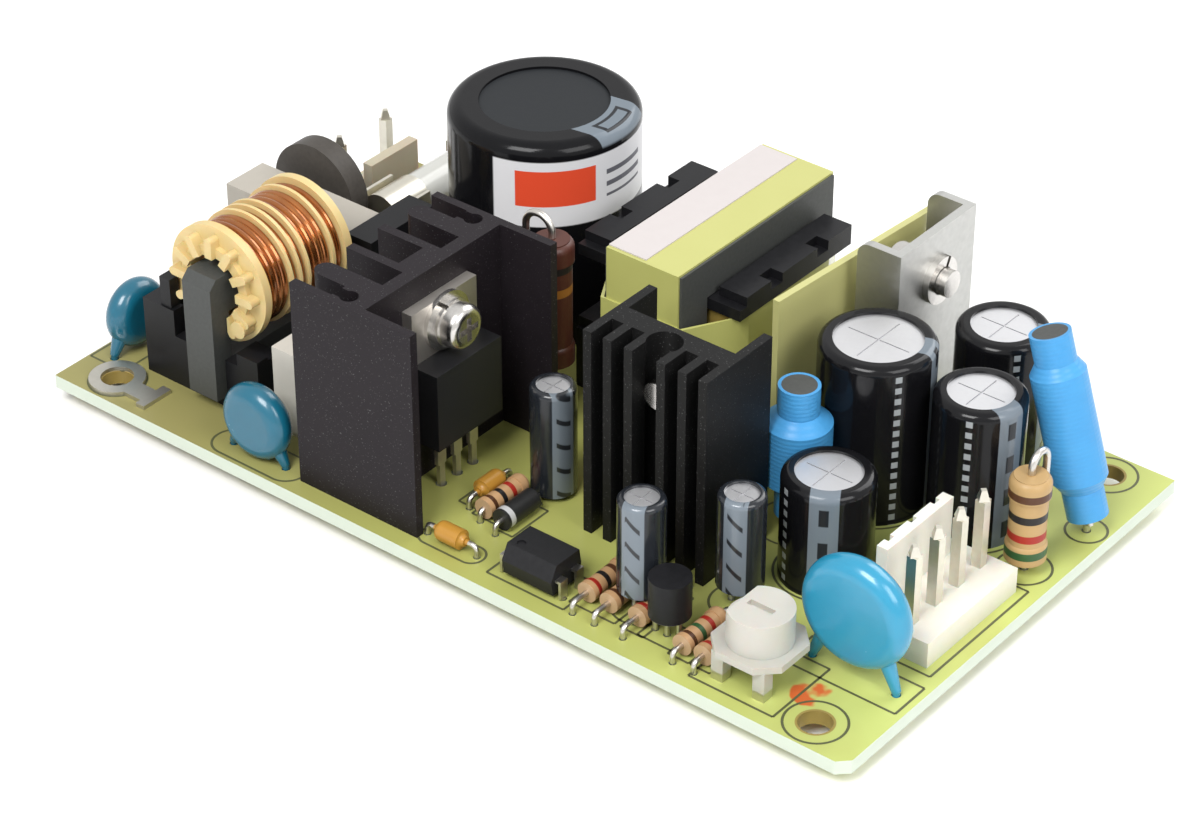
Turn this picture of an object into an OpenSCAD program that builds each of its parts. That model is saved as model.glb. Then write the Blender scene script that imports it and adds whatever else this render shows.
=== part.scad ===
// Open frame power supply: one printed board with its headers, fuse, line filter, bulk capacitor,
// switching stage, transformer and output filter. The frame's origin is under the middle of the board,
// at the tips of the solder joints. X runs along the board from input to output, and Z points up.

/* [Board] */
// Length of the board, along X
board_l = 106; // [105.4:0.1:112]
// Width of the board, along Y
board_w = 59.5; // [59.3:0.1:66]
// Thickness of the board
board_t = 1.6; // [1:0.1:2.4]
// Distance between the fixing holes, along X
hole_pitch_x = 93.92; // [93.7:0.02:94.4]
// Distance between the fixing holes, along Y
hole_pitch_y = 52.34; // [52.1:0.02:52.6]
// Diameter of the four fixing holes
hole_d = 3.5; // [2.8:0.1:4]
// Cut at the corner beside the output
corner_cut = 1.2; // [0.5:0.1:2]
// Height of the solder joints below the board
solder_h = 1.8; // [1:0.1:3]
// Foot diameter of a solder joint
solder_d = 2.1; // [1.7:0.1:2.3]
// Gap around a lead in its hole
lead_gap = 0.1; // [0.05:0.01:0.2]

/* [Leads] */
// Diameter of a thick lead
lead_d = 0.8; // [0.5:0.05:0.95]
// Diameter of a thin lead
thin_lead_d = 0.6; // [0.4:0.05:0.8]
// Width of a lead of a bolted semiconductor
blade_w = 0.8; // [0.5:0.05:1.1]
// Distance between the leads of a bolted semiconductor
blade_pitch = 2.54; // [2.3:0.02:2.8]

/* [Connectors] */
// Distance between header pins
pin_pitch = 3.96; // [3.9:0.02:4.05]
// Side of a square header pin
pin_side = 1.14; // [0.8:0.02:1.3]
// Height of a header pin above the board
pin_h = 12.2; // [10.5:0.1:14]
// Height of a header's base
header_base_h = 3; // [2:0.1:4]
// Thickness of a header's friction wall
header_wall_t = 1.3; // [0.8:0.1:1.8]
// Height of a header's friction wall
header_wall_h = 10; // [8:0.1:12]
// Length of the input header
input_header_l = 11.9; // [10:0.1:12.6]
// Length of the output header
output_header_l = 15.8; // [14.2:0.1:16.4]
// Width of a header
header_w = 8.3; // [7.2:0.1:8.8]

/* [Fuse] */
// Diameter of the fuse
fuse_d = 5.2; // [4.6:0.1:5.6]
// Length of the fuse
fuse_l = 20; // [18:0.1:21]
// Length of a fuse cap
fuse_cap_l = 5.7; // [4.5:0.1:6.5]
// Height of the fuse axis above the board
fuse_axis_h = 7.4; // [6:0.1:9]
// Thickness of the clip strip
clip_t = 0.4; // [0.3:0.05:0.6]

/* [Thermistor] */
// Diameter of the thermistor disc
thermistor_d = 11.8; // [9:0.1:12.2]
// Thickness of the thermistor disc
thermistor_t = 2.6; // [2:0.1:4]
// Height of the disc centre above the board
thermistor_h = 9.4; // [8:0.1:11]

/* [Film capacitors] */
// Length of the rear suppression capacitor
rear_film_l = 18; // [16:0.1:18.4]
// Thickness of the rear suppression capacitor
rear_film_t = 5.9; // [4.5:0.1:6.1]
// Height of the rear suppression capacitor
rear_film_h = 12; // [9:0.1:14]
// Length of the front suppression capacitor
front_film_l = 17; // [14:0.1:17.6]
// Thickness of the front suppression capacitor
front_film_t = 7; // [5:0.1:7.4]
// Height of the front suppression capacitor
front_film_h = 10.4; // [8:0.1:12]

/* [Line choke] */
// Outer diameter of the bobbin flanges
choke_flange_d = 13.7; // [13:0.1:14]
// Thickness of a bobbin flange
choke_flange_t = 1; // [0.7:0.1:1.2]
// Bore of the bobbin
choke_bore_d = 7.2; // [6.9:0.1:7.6]
// Wall of the bobbin tube
choke_wall = 0.9; // [0.6:0.1:1.1]
// Length of the bobbin between its outer faces
choke_l = 13.7; // [13:0.1:14]
// Number of teeth on the front of the bobbin
choke_teeth = 12; // [8:1:16]
// Height of the teeth
choke_tooth_h = 1.3; // [0.8:0.1:1.5]
// Diameter over the copper
choke_copper_d = 12.4; // [11:0.1:12.8]
// Diameter of the choke's wire
choke_wire_d = 0.8; // [0.5:0.05:1]
// Height of the bobbin axis above the board
choke_axis_h = 14.15; // [13.6:0.05:15]
// Width of the ferrite bar
core_bar_w = 4.1; // [3:0.1:4.5]
// Height of the ferrite bar
core_bar_h = 4.6; // [3:0.1:4.8]
// Thickness of the ferrite legs
core_leg_t = 2.6; // [2:0.1:2.9]

/* [Disc capacitors] */
// Diameter of the earth disc capacitor
earth_disc_d = 8; // [6.5:0.1:8.6]
// Diameter of the line disc capacitor
line_disc_d = 8.8; // [7.5:0.1:9.8]
// Diameter of the output disc capacitor
output_disc_d = 12.4; // [10:0.1:12.8]
// Thickness of a disc capacitor
disc_t = 3.2; // [2.5:0.1:3.6]
// Heights of the disc capacitors' middles above the board: earth, line and output
disc_centre_h = [4.3, 4.5, 7.8]; // [4:0.1:9]

/* [Bridge rectifier] */
// Length of the bridge rectifier
bridge_l = 12; // [10:0.1:13]
// Thickness of the bridge rectifier
bridge_t = 3.6; // [2.5:0.1:3.8]
// Height of the bridge rectifier's case
bridge_h = 9.6; // [8:0.1:11]
// Height of the case above the board
bridge_lift = 3.6; // [2:0.1:5]

/* [Bulk capacitor] */
// Diameter over the sleeve
bulk_d = 21.5; // [19:0.1:21.8]
// Height of the bulk capacitor
bulk_h = 25.4; // [20:0.1:30]
// Thickness of a capacitor sleeve
sleeve_t = 0.3; // [0.2:0.05:0.4]
// Radius of the bulk capacitor's shoulder
bulk_shoulder = 1.6; // [1:0.1:2.2]
// Diameter of the bare end of the bulk capacitor
bulk_end_d = 14.5; // [12:0.1:16]

/* [Heatsinks] */
// Height of both heatsinks
sink_h = 24.6; // [23:0.1:28]
// Width of the main heatsink, along Y
main_sink_w = 22.9; // [22.7:0.1:23.1]
// Thickness of the main heatsink's end plates
main_plate_t = 1; // [0.7:0.1:1.2]
// Thickness of the main heatsink's web
main_web_t = 1.7; // [1.4:0.1:1.9]
// Thickness of the thin fins
main_fin_t = 1.1; // [0.8:0.1:1.4]
// Thickness of the wide fins
main_wide_fin_t = 2.5; // [2:0.1:2.6]
// Thickness of an output heatsink fin
out_fin_t = 1.05; // [0.8:0.05:1.3]
// Depth of the output heatsink's fins
out_fin_l = 3.35; // [2.8:0.05:3.5]
// Thickness of the output heatsink's web
out_web_t = 2.6; // [2.2:0.1:2.8]
// Reach of the outer fins behind the web
out_tail_l = 4.7; // [3:0.1:5]

/* [Bolted semiconductors] */
// Width of the metal tab
tab_w = 10.1; // [9.6:0.1:10.4]
// Thickness of the metal tab
tab_t = 1.3; // [1:0.1:1.4]
// Height of the tab's upper end above the board
tab_top_h = 21.6; // [21:0.1:23]
// Length of the moulded body
mould_l = 9.2; // [8.8:0.1:9.6]
// Thickness from the tab's back to the body's face
mould_t = 4.5; // [4:0.1:4.7]
// Distance from the tab's upper end to its hole
tab_hole_drop = 2.8; // [2.6:0.1:3.2]
// Length of the tab above the body
tab_bare_l = 6.2; // [6:0.1:6.6]

/* [Fasteners] */
// Thread diameter of the screws
screw_d = 3; // [2.5:0.1:3.1]
// Gap around a screw in its hole
screw_gap = 0.1; // [0.05:0.01:0.2]
// Diameter of a screw head
head_d = 5; // [4.6:0.1:5.7]
// Height of a screw head
head_h = 2; // [1.6:0.1:2.4]
// Thickness of a flat washer
washer_t = 0.5; // [0.3:0.1:0.8]
// Diameter of a flat washer
washer_d = 6.6; // [6:0.1:7]
// Thickness of a spring washer
spring_t = 0.8; // [0.5:0.1:1]

/* [Bracket] */
// Length of the bracket
bracket_l = 13.8; // [12.6:0.1:14]
// Depth of the bracket's flanges
bracket_flange_l = 5.4; // [4:0.1:5.6]
// Thickness of the bracket
bracket_t = 1; // [0.7:0.1:1.2]

/* [Barrier] */
// Length of the barrier sheet
barrier_l = 25.1; // [20:0.1:25.4]
// Height of the barrier sheet
barrier_h = 21.4; // [18:0.1:24]
// Thickness of the barrier sheet
barrier_t = 0.8; // [0.4:0.1:1]

/* [Transformer] */
// Thickness of the core, along X
core_w = 10; // [9:0.1:10.6]
// Length of the core, along Y
core_l = 26.7; // [26.3:0.1:27]
// Height of the core
core_h = 19.4; // [19:0.1:20.4]
// Thickness of the core's outer legs and yokes
core_side = 4.4; // [4:0.1:4.6]
// Length of the core's centre leg, along Y
core_centre_l = 8.9; // [8:0.1:9.2]
// Height of the core's foot above the board
core_lift = 3; // [2.2:0.1:3.4]
// Thickness of a bobbin flange
bobbin_flange_t = 1.3; // [1:0.1:1.4]
// Wall of the bobbin tube
bobbin_wall = 0.8; // [0.6:0.1:1]
// Thickness of the wound copper and tape
winding_t = 2.9; // [2:0.1:3.1]
// Thickness of the tape around the core
tape_t = 0.25; // [0.15:0.05:0.35]
// Width of the label on the core
label_w = 4.9; // [3.5:0.1:6]

/* [Output capacitors] */
// Diameters over the sleeves
output_cap_d = [12.4, 10, 9.74, 9.74]; // [9:0.02:12.5]
// Heights above the board
output_cap_h = [19.2, 16.4, 16.4, 12.5]; // [11:0.1:21]
// Diameters of the bare ends
output_end_d = [9.4, 7, 7, 7]; // [6:0.1:9.6]

/* [Small capacitors] */
// Diameter of a small capacitor
small_cap_d = 5; // [4:0.1:5.1]
// Lengths of the small capacitors' cans: front, middle and rear
small_cap_l = [11, 11, 12.8]; // [9:0.1:14]

/* [Rod chokes] */
// Diameters of the rod chokes' sleeves over their windings: inner and outer
rod_body_d = [7.2, 5.9]; // [5:0.1:7.4]
// Diameter of a rod choke's ferrite rod
rod_d = 3.7; // [3:0.1:4.4]
// Lengths of the rod chokes' windings
rod_body_l = [6.8, 12]; // [6:0.1:12.5]
// Length of a rod choke's necks
rod_neck_l = 3.2; // [2:0.1:3.5]
// Lean of the outer rod choke, in degrees
rod_lean = 17.5; // [8:0.5:18]

/* [Resistors and diode] */
// Diameter of the upright bleed resistor
bleed_d = 4.4; // [3.6:0.1:4.8]
// Length of the upright bleed resistor
bleed_l = 10; // [9:0.1:12]
// Diameter of the upright snubber resistor
snubber_d = 4.8; // [4:0.1:5]
// Length of the upright snubber resistor
snubber_l = 15; // [12:0.1:16]
// Diameter of a film resistor
film_d = 2.3; // [1.8:0.1:2.4]
// Length of a film resistor
film_l = 6.3; // [5:0.1:6.6]
// Height of an axial part's axis above the board
axial_h = 1.3; // [1.25:0.05:2]
// Diameter of the diode's case
diode_d = 2.4; // [2:0.1:2.5]
// Length of the diode's case
diode_l = 5; // [4:0.1:5.4]

/* [Control parts] */
// Length of the optocoupler, along X
opto_l = 6.4; // [6:0.1:6.8]
// Width of the optocoupler, along Y
opto_w = 4.8; // [4.2:0.1:5]
// Height of the optocoupler's case
opto_h = 3.4; // [3:0.1:3.8]
// Width of the regulator
regulator_w = 4.4; // [4:0.1:4.5]
// Height of the regulator's case
regulator_h = 4.5; // [4:0.1:5]
// Diameter of the trimmer's rotor
rotor_d = 6.8; // [6:0.1:7.2]
// Height of the trimmer's rotor above its plate
rotor_h = 3.8; // [3:0.1:4.4]
// Diameter of the trimmer's post
post_d = 3; // [2.4:0.1:3.4]
// Running gap of the trimmer's rotor
rotor_gap = 0.05; // [0.02:0.01:0.1]
// Width of the trimmer's plate
trimmer_w = 8.6; // [8:0.1:9]
// Height of the trimmer's plate above the board
trimmer_lift = 3.4; // [3:0.1:4]
// Thickness of the trimmer's plate
trimmer_plate_t = 0.8; // [0.6:0.1:1]

/* [Hidden] */
$fn = 48;
eps = 0.01;

// Height of the board's upper face
deck = solder_h + board_t;

// Places on the board, from its middle
input_header_at = [-48.45, 17];
output_header_at = [46.45, -4.8];
fuse_at = [-39.2, 18.7];
thermistor_at = [-46.3, 6.7];
rear_film_at = [-43.2, 0.45];
front_film_at = [-23.7, -13.5];
choke_at = [-35.9, -13.75];
earth_disc_at = [-50.3, -19.55];
line_disc_at = [-25, -26.9];
output_disc_at = [45.6, -17.9];
bridge_at = [-31.4, 2.6];
bulk_at = [-21.4, 16.5];
main_sink_at = [-10.8, -16.2];
out_sink_at = [17.83, -9.9];
bracket_at = [27.1, 21.7];
barrier_at = [19.95, 16.95];
barrier_turn = -4.3;
transformer_at = [5, 13.75];
output_cap_at = [[29.2, 8.2], [35.5, 22], [40.5, 10.3], [33.6, -6.05]];
small_cap_at = [[22.7, -22.3], [29.95, -15.6], [3.3, -12.3]];
rod_choke_at = [[26.3, -1.3], [50.5, 16.4]];
rod_choke_lean = [0, rod_lean];
bleed_at = [49, 7];
snubber_at = [-5.9, -1.2];
film_at = [[18.1, -22.1], [20.9, -22.1], [24.5, -22.1], [30.7, -22.9], [33.3, -22.9], [0.9, -17.7]];
film_pitch = [10.8, 10.8, 10.8, 9.2, 9.2, 7.4];
ceramic_at = [[-1.5, -17], [1.3, -26.3]];
ceramic_turn = [90, 0];
diode_at = [3.6, -18.7];
opto_at = [12, -24.9];
regulator_at = [27.55, -24.3];
trimmer_at = [38.2, -23.4];

// Lead spacings
film_cap_pitch = 15;
disc_pitch = 7.5;
output_disc_pitch = 10;
bridge_pitch = 3;
bulk_pitch = 10;
cap_pitch = 5;
small_cap_pitch = 2;
ceramic_pitch = 6.6;
diode_pitch = 7;
opto_pitch = [7.62, 2.54];
regulator_pitch = 1.5;
bleed_turn_back = 2.8;
snubber_turn_back = 3.5;
bleed_lift = 1.6;
snubber_lift = 7;
choke_pin_x = 14;
choke_pin_y = 7.5;
rail_x = [-12.3, 9.2];
rail_shift = 1.6;
rail_l = 18.6;
rail_w = 3.6;
transformer_pin_pitch = 4;
transformer_pins = [for (s = [0, 1]) for (i = [-1.5:1:1.5])
    transformer_at + [s == 0 ? rail_x[0] + rail_w / 2 : rail_x[1] - rail_w / 2, i * transformer_pin_pitch]];
trimmer_legs = [for (p = [[-2.5, -2.9], [2.5, -2.9], [0, 2.9]]) trimmer_at + p];

// Pins that hold the main heatsink, in its open channels
sink_pin_d = 1.8;
main_channel_r = 1;
main_channel_y = 9.6;
heatsink_pin_spots = [for (s = [-1, 1]) main_sink_at + [-main_channel_r - 0.2, s * main_channel_y]];

function pair_x(c, p) = [[c[0] - p / 2, c[1]], [c[0] + p / 2, c[1]]];
function pair_y(c, p) = [[c[0], c[1] - p / 2], [c[0], c[1] + p / 2]];
function flat(lists) = [for (l = lists) for (p = l) p];

// Fixing holes
fixing_holes = [for (x = [-1, 1]) for (y = [-1, 1]) [x * hole_pitch_x / 2, y * hole_pitch_y / 2]];

// Header pins
input_pin_x = input_header_at[0] - 0.75;
output_pin_x = output_header_at[0] + 0.75;
header_pin_spots = concat(
    pair_y([input_pin_x, input_header_at[1]], 2 * pin_pitch),
    [for (i = [-1.5:1:1.5]) [output_pin_x, output_header_at[1] + i * pin_pitch]]
);

// Bolted semiconductors, in the plane of their leads
lead_plane = 2.4;
lead_strip_t = 0.5;
mould_top_h = tab_top_h - tab_bare_l;
mould_base_h = mould_top_h - mould_l;
tab_hole_h = tab_top_h - tab_hole_drop;
main_tab_at = [main_sink_at[0] + main_web_t, main_sink_at[1]];
bracket_tab_at = [bracket_at[0] - bracket_t, bracket_at[1]];
blade_spots = concat(
    [for (i = [-1:1]) main_tab_at + [lead_plane, i * blade_pitch]],
    [for (i = [-1:1]) out_sink_at + [i * blade_pitch, lead_plane]],
    [for (i = [-1:1]) bracket_tab_at + [-lead_plane, i * blade_pitch]]
);

// Thick leads, as places on the board
thick_spots = concat(
    pair_x(thermistor_at, disc_pitch),
    pair_x(rear_film_at, film_cap_pitch),
    pair_y(front_film_at, film_cap_pitch),
    pair_y(earth_disc_at, disc_pitch),
    pair_x(line_disc_at, disc_pitch),
    pair_x(output_disc_at, output_disc_pitch),
    [for (i = [-1.5:1:1.5]) bridge_at + [0, i * bridge_pitch]],
    pair_x(bulk_at, bulk_pitch),
    flat([for (c = output_cap_at) pair_x(c, cap_pitch)]),
    rod_choke_at,
    [bleed_at, bleed_at + [0, bleed_turn_back], snubber_at, snubber_at - [snubber_turn_back, 0]],
    pair_y(fuse_at, fuse_l - fuse_cap_l),
    flat([for (y = [-1, 1]) pair_x(choke_at + [-1.8, y * choke_pin_y], choke_pin_x)]),
    transformer_pins
);
// Thin leads, as places on the board
thin_spots = concat(
    flat([for (i = [0:len(film_at) - 1]) pair_y(film_at[i], film_pitch[i])]),
    flat([for (i = [0:1]) axial_ends(ceramic_at[i], ceramic_pitch, ceramic_turn[i])]),
    pair_y(diode_at, diode_pitch),
    flat([for (y = pair_y(opto_at, opto_pitch[1])) pair_x(y, opto_pitch[0])]),
    [for (i = [-1:1]) regulator_at + [i * regulator_pitch, 0]],
    pair_y(small_cap_at[0], small_cap_pitch),
    pair_x(small_cap_at[1], small_cap_pitch),
    pair_x(small_cap_at[2], small_cap_pitch),
    trimmer_legs
);
function axial_ends(c, p, turn) = turn == 0 ? pair_x(c, p) : pair_y(c, p);

module on_board(p, h = 0) {
    translate([p[0], p[1], deck + h]) children();
}

// A round lead that starts at the board's lower face
module lead(p, d, top_h) {
    on_board(p, -board_t) cylinder(d = d, h = board_t + top_h, $fn = 24);
}

// A box with its middle over the origin
module slab(x, y, z) {
    translate([-x / 2, -y / 2, 0]) cube([x, y, z]);
}

// A flat ring
module ring(d_out, d_in, h) {
    difference() {
        cylinder(d = d_out, h = h);
        translate([0, 0, -1]) cylinder(d = d_in, h = h + 2);
    }
}

module circuit_board() {
    color("darkkhaki") difference() {
        translate([0, 0, solder_h]) linear_extrude(board_t) difference() {
            square([board_l, board_w], center = true);
            translate([board_l / 2, -board_w / 2]) rotate(45) square(corner_cut * sqrt(2), center = true);
        }
        for (p = fixing_holes) drill(p, hole_d);
        for (p = thick_spots) drill(p, lead_d + 2 * lead_gap);
        for (p = thin_spots) drill(p, thin_lead_d + 2 * lead_gap);
        for (p = blade_spots) drill(p, blade_w * 1.3 + 2 * lead_gap);
        for (p = header_pin_spots) drill(p, pin_side * 1.42 + 2 * lead_gap);
        for (p = heatsink_pin_spots) drill(p, sink_pin_d + 2 * lead_gap);
    }
}

module drill(p, d) {
    on_board(p, -board_t - 1) cylinder(d = d, h = board_t + 2, $fn = 24);
}

module solder_joints() {
    color("silver") {
        for (p = concat(thick_spots, blade_spots)) joint(p, solder_d);
        for (p = thin_spots) joint(p, thin_joint_d);
        for (p = concat(header_pin_spots, heatsink_pin_spots)) joint(p, solder_d + pin_joint_extra);
    }
}
thin_joint_d = 1.4;
pin_joint_extra = 1.2;

module joint(p, d) {
    translate([p[0], p[1], 0]) cylinder(d1 = d * 0.5, d2 = d, h = solder_h, $fn = 20);
}

// Ring terminal around the first fixing hole
terminal_t = 0.5;
terminal_ring_d = 6.3;
terminal_tail_w = 2.4;
terminal_tail_l = 6.4;
module earth_terminal() {
    color("silver") on_board(fixing_holes[0]) linear_extrude(terminal_t) difference() {
        union() {
            circle(d = terminal_ring_d);
            translate([0, -0.5 - terminal_tail_w / 2]) square([terminal_tail_l, terminal_tail_w]);
            translate([terminal_tail_l - 1.2, -2.4]) square([1.2, 4.2]);
        }
        circle(d = hole_d + 0.2);
    }
}

// Header base with a friction wall on one side; side is 1 or -1
module header(at, l, wall_l, side, wall_inset) {
    color("ivory") difference() {
        union() {
            on_board(at) slab(header_w, l, header_base_h);
            on_board(at + [side * (header_w / 2 - wall_inset - header_wall_t / 2), 0])
                slab(header_wall_t, wall_l, header_wall_h);
        }
        for (p = header_pin_spots)
            on_board(p, -1) slab(pin_side, pin_side, header_wall_h + 2);
    }
}

module input_header() {
    header(input_header_at, input_header_l, input_header_l - pin_pitch, 1, 0);
}

module output_header() {
    difference() {
        header(output_header_at, output_header_l, output_header_l - pin_pitch - 0.4, -1, 0.3);
        for (y = [-1, 0, 1])
            on_board(output_header_at + [-header_w / 2 + 0.3, y * pin_pitch], wall_groove_h)
                slab(1, 1, header_wall_h);
    }
}
wall_groove_h = 4.5;

module header_pins() {
    color("silver") for (p = header_pin_spots)
        on_board(p, -board_t) {
            slab(pin_side, pin_side, board_t + pin_h - pin_side);
            translate([0, 0, board_t + pin_h - pin_side])
                cylinder(d1 = pin_side * sqrt(2), d2 = pin_side * 0.7, h = pin_side, $fn = 4);
        }
}

// Children turned so that their Z axis runs along Y, with the middle at the fuse axis
module along_y(at, h) {
    on_board(at, h) rotate([-90, 0, 0]) children();
}

fuse_glass_d = fuse_d - 0.4;
module fuse_tube() {
    color("white") along_y(fuse_at, fuse_axis_h) translate([0, 0, 0.5 - fuse_l / 2])
        cylinder(d = fuse_glass_d, h = fuse_l - 1);
}

module fuse_end_caps() {
    color("silver") along_y(fuse_at, fuse_axis_h) for (s = [0, 1]) mirror([0, 0, s])
        translate([0, 0, fuse_l / 2 - fuse_cap_l]) difference() {
            cylinder(d = fuse_d, h = fuse_cap_l);
            translate([0, 0, -1]) cylinder(d = fuse_glass_d, h = fuse_cap_l + 0.5);
        }
}

clip_l = 4.6;
clip_gap = 0.02;
clip_foot_w = 3;
clip_ear_h = 2;
module fuse_clips() {
    color("silver") for (p = pair_y(fuse_at, fuse_l - fuse_cap_l)) {
        along_y(p, fuse_axis_h) translate([0, 0, -clip_l / 2]) linear_extrude(clip_l) clip_profile();
        lead(p, lead_d, clip_t);
    }
}

// The clip's section: two springs around the fuse, on a foot that stands on the board
module clip_profile() {
    r_in = fuse_d / 2 + clip_gap;
    difference() {
        circle(r = r_in + clip_t);
        circle(r = r_in);
        translate([-fuse_d, -fuse_d]) square([2 * fuse_d, fuse_d]);
        translate([-clip_foot_w / 2 + clip_t, 0]) square([clip_foot_w - 2 * clip_t, fuse_d]);
    }
    for (s = [-1, 1]) {
        translate([s * (clip_foot_w / 2 - clip_t / 2) - clip_t / 2, sqrt(pow(r_in, 2) - pow(clip_foot_w / 2 - clip_t, 2))])
            square([clip_t, fuse_axis_h - sqrt(pow(r_in, 2) - pow(clip_foot_w / 2 - clip_t, 2))]);
        translate([s * (r_in + clip_t / 2) - clip_t / 2, -clip_ear_h]) square([clip_t, clip_ear_h]);
    }
    translate([-clip_foot_w / 2, fuse_axis_h - clip_t]) square([clip_foot_w, clip_t]);
}

// A disc with a full round rim, standing with its faces along Y
module round_disc(d, t) {
    rotate([90, 0, 0]) rotate_extrude() {
        translate([0, -t / 2]) square([d / 2 - t / 2, t]);
        intersection() {
            translate([d / 2 - t / 2, 0]) circle(d = t);
            translate([0, -t]) square([d, 2 * t]);
        }
    }
}

module thermistor() {
    color("dimgray") {
        on_board(thermistor_at, thermistor_h) rotate([90, 0, 0])
            translate([0, 0, -thermistor_t / 2]) cylinder(d = thermistor_d, h = thermistor_t);
        for (p = pair_x(thermistor_at, disc_pitch)) lead(p, lead_d, thermistor_h);
    }
}

// Dipped disc with its faces along Y, whose coating runs down two splayed legs
module disc_capacitor(d, pitch, centre_h) {
    on_board([0, 0], centre_h) round_disc(d, disc_t);
    for (s = [-1, 1]) {
        translate([s * pitch / 2, 0, deck + leg_foot_h])
            rotate([0, -s * atan2(leg_reach * pitch / 2, centre_h - leg_foot_h), 0])
                cylinder(d1 = lead_d + 0.2, d2 = disc_t * 0.8, h = centre_h - leg_foot_h, $fn = 24);
        lead([s * pitch / 2, 0], lead_d, 2 * leg_foot_h);
    }
}
leg_foot_h = 0.35;
leg_reach = 0.6;

module disc_capacitor_earth() {
    color("steelblue") translate([earth_disc_at[0], earth_disc_at[1], 0]) rotate(90)
        disc_capacitor(earth_disc_d, disc_pitch, disc_centre_h[0]);
}

module disc_capacitor_line() {
    color("steelblue") translate([line_disc_at[0], line_disc_at[1], 0])
        disc_capacitor(line_disc_d, disc_pitch, disc_centre_h[1]);
}

module disc_capacitor_output() {
    color("steelblue") translate([output_disc_at[0], output_disc_at[1], 0])
        disc_capacitor(output_disc_d, output_disc_pitch, disc_centre_h[2]);
}

module suppression_capacitor_rear() {
    color("lightgray") {
        on_board(rear_film_at) slab(rear_film_l, rear_film_t, rear_film_h);
        for (p = pair_x(rear_film_at, film_cap_pitch)) lead(p, lead_d, 1);
    }
}

module suppression_capacitor_front() {
    color("white") {
        on_board(front_film_at) slab(front_film_t, front_film_l, front_film_h);
        for (p = pair_y(front_film_at, film_cap_pitch)) lead(p, lead_d, 1);
    }
}

// Line choke: a closed ferrite bar through a wound bobbin whose axis runs along Y
choke_leg_gap = 0.8;
core_foot_h = 1.5;
core_base_bar_h = 4.4;
choke_front = choke_at[1] - choke_l / 2 - choke_leg_gap - core_leg_t;
choke_back = choke_at[1] + choke_l / 2 + 0.4 + core_leg_t;
core_top_h = choke_axis_h + core_bar_h / 2;
core_fit = 0.1;

module core_outline(extra) {
    on_board([choke_at[0] - core_bar_w / 2 - extra, choke_front - extra], core_foot_h - extra)
        cube([core_bar_w + 2 * extra, choke_back - choke_front + 2 * extra, core_top_h - core_foot_h + 2 * extra]);
}

module choke_core() {
    color("dimgray") difference() {
        core_outline(0);
        on_board([choke_at[0] - core_bar_w, choke_front + core_leg_t], core_foot_h + core_base_bar_h)
            cube([2 * core_bar_w, choke_back - choke_front - 2 * core_leg_t,
                  core_top_h - core_bar_h - core_foot_h - core_base_bar_h]);
        for (y = [choke_front, choke_back]) on_board([choke_at[0], y], core_top_h)
            rotate([45, 0, 0]) translate([-core_bar_w, -0.7, -0.7]) cube([2 * core_bar_w, 1.4, 1.4]);
    }
}

// Places of the ribs between windings, from the front face of the bobbin
choke_ribs = [4.4, 5.7, 7, 10.9];
choke_rib_t = 0.4;
choke_tooth_w = 1;
// Round stub on the front flange, beside the core
choke_stub_at = [4, 3.6];
choke_stub_d = 2;
choke_stub_l = 1.6;
choke_tooth_end_r = choke_flange_d / 2 - 1.3;
choke_rib_d = choke_flange_d - 0.5;
choke_tube_d = choke_bore_d + 2 * choke_wall;
module choke_bobbin() {
    color("lightyellow") difference() {
        along_y(choke_at, choke_axis_h) translate([0, 0, -choke_l / 2]) difference() {
            union() {
                cylinder(d = choke_tube_d, h = choke_l);
                for (z = [0, choke_l - choke_flange_t]) translate([0, 0, z])
                    cylinder(d = choke_flange_d, h = choke_flange_t);
                for (z = choke_ribs) translate([0, 0, z]) cylinder(d = choke_rib_d, h = choke_rib_t);
                translate([choke_stub_at[0], choke_stub_at[1], -choke_stub_l])
                    cylinder(d = choke_stub_d, h = choke_stub_l + 0.1);
                translate([0, 0, -choke_tooth_h / 2]) cylinder(d = choke_tube_d + 0.6, h = choke_tooth_h / 2);
                for (i = [0:choke_teeth - 1]) rotate(i * 360 / choke_teeth)
                    translate([0, 0, -choke_tooth_h]) {
                        translate([choke_bore_d / 2, -choke_tooth_w / 2, 0])
                            cube([choke_tooth_end_r - choke_bore_d / 2, choke_tooth_w, choke_tooth_h + 0.1]);
                        translate([choke_tooth_end_r, 0, 0]) cylinder(d = choke_tooth_w, h = choke_tooth_h + 0.1);
                    }
            }
            translate([0, 0, -choke_tooth_h - 1]) cylinder(d = choke_bore_d, h = choke_l + choke_tooth_h + 2);
        }
        on_board([choke_at[0] - core_bar_w / 2 - core_fit, choke_front - 1], 0)
            cube([core_bar_w + 2 * core_fit, core_leg_t + 1 + core_fit, core_top_h + core_fit]);
    }
}

// Copper between two planes of the bobbin, with a ridge for each turn
module copper(z0, z1) {
    turns = max(1, round((z1 - z0) / choke_wire_d));
    pitch = (z1 - z0) / turns;
    r = choke_copper_d / 2;
    ridges = [for (i = [0:turns - 1]) each [
        [r - pitch * 0.35, (i + 0.02) * pitch], [r - pitch * 0.08, (i + 0.22) * pitch],
        [r, (i + 0.5) * pitch], [r - pitch * 0.08, (i + 0.78) * pitch], [r - pitch * 0.35, (i + 0.98) * pitch]
    ]];
    translate([0, 0, z0]) rotate_extrude()
        polygon(concat([[choke_tube_d / 2, 0]], ridges, [[choke_tube_d / 2, z1 - z0]]));
}

module choke_windings() {
    starts = concat([choke_flange_t], [for (z = choke_ribs) z + choke_rib_t]);
    ends = concat(choke_ribs, [choke_l - choke_flange_t]);
    color("peru") along_y(choke_at, choke_axis_h) translate([0, 0, -choke_l / 2])
        for (i = [0:len(starts) - 1]) copper(starts[i], ends[i]);
}

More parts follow.
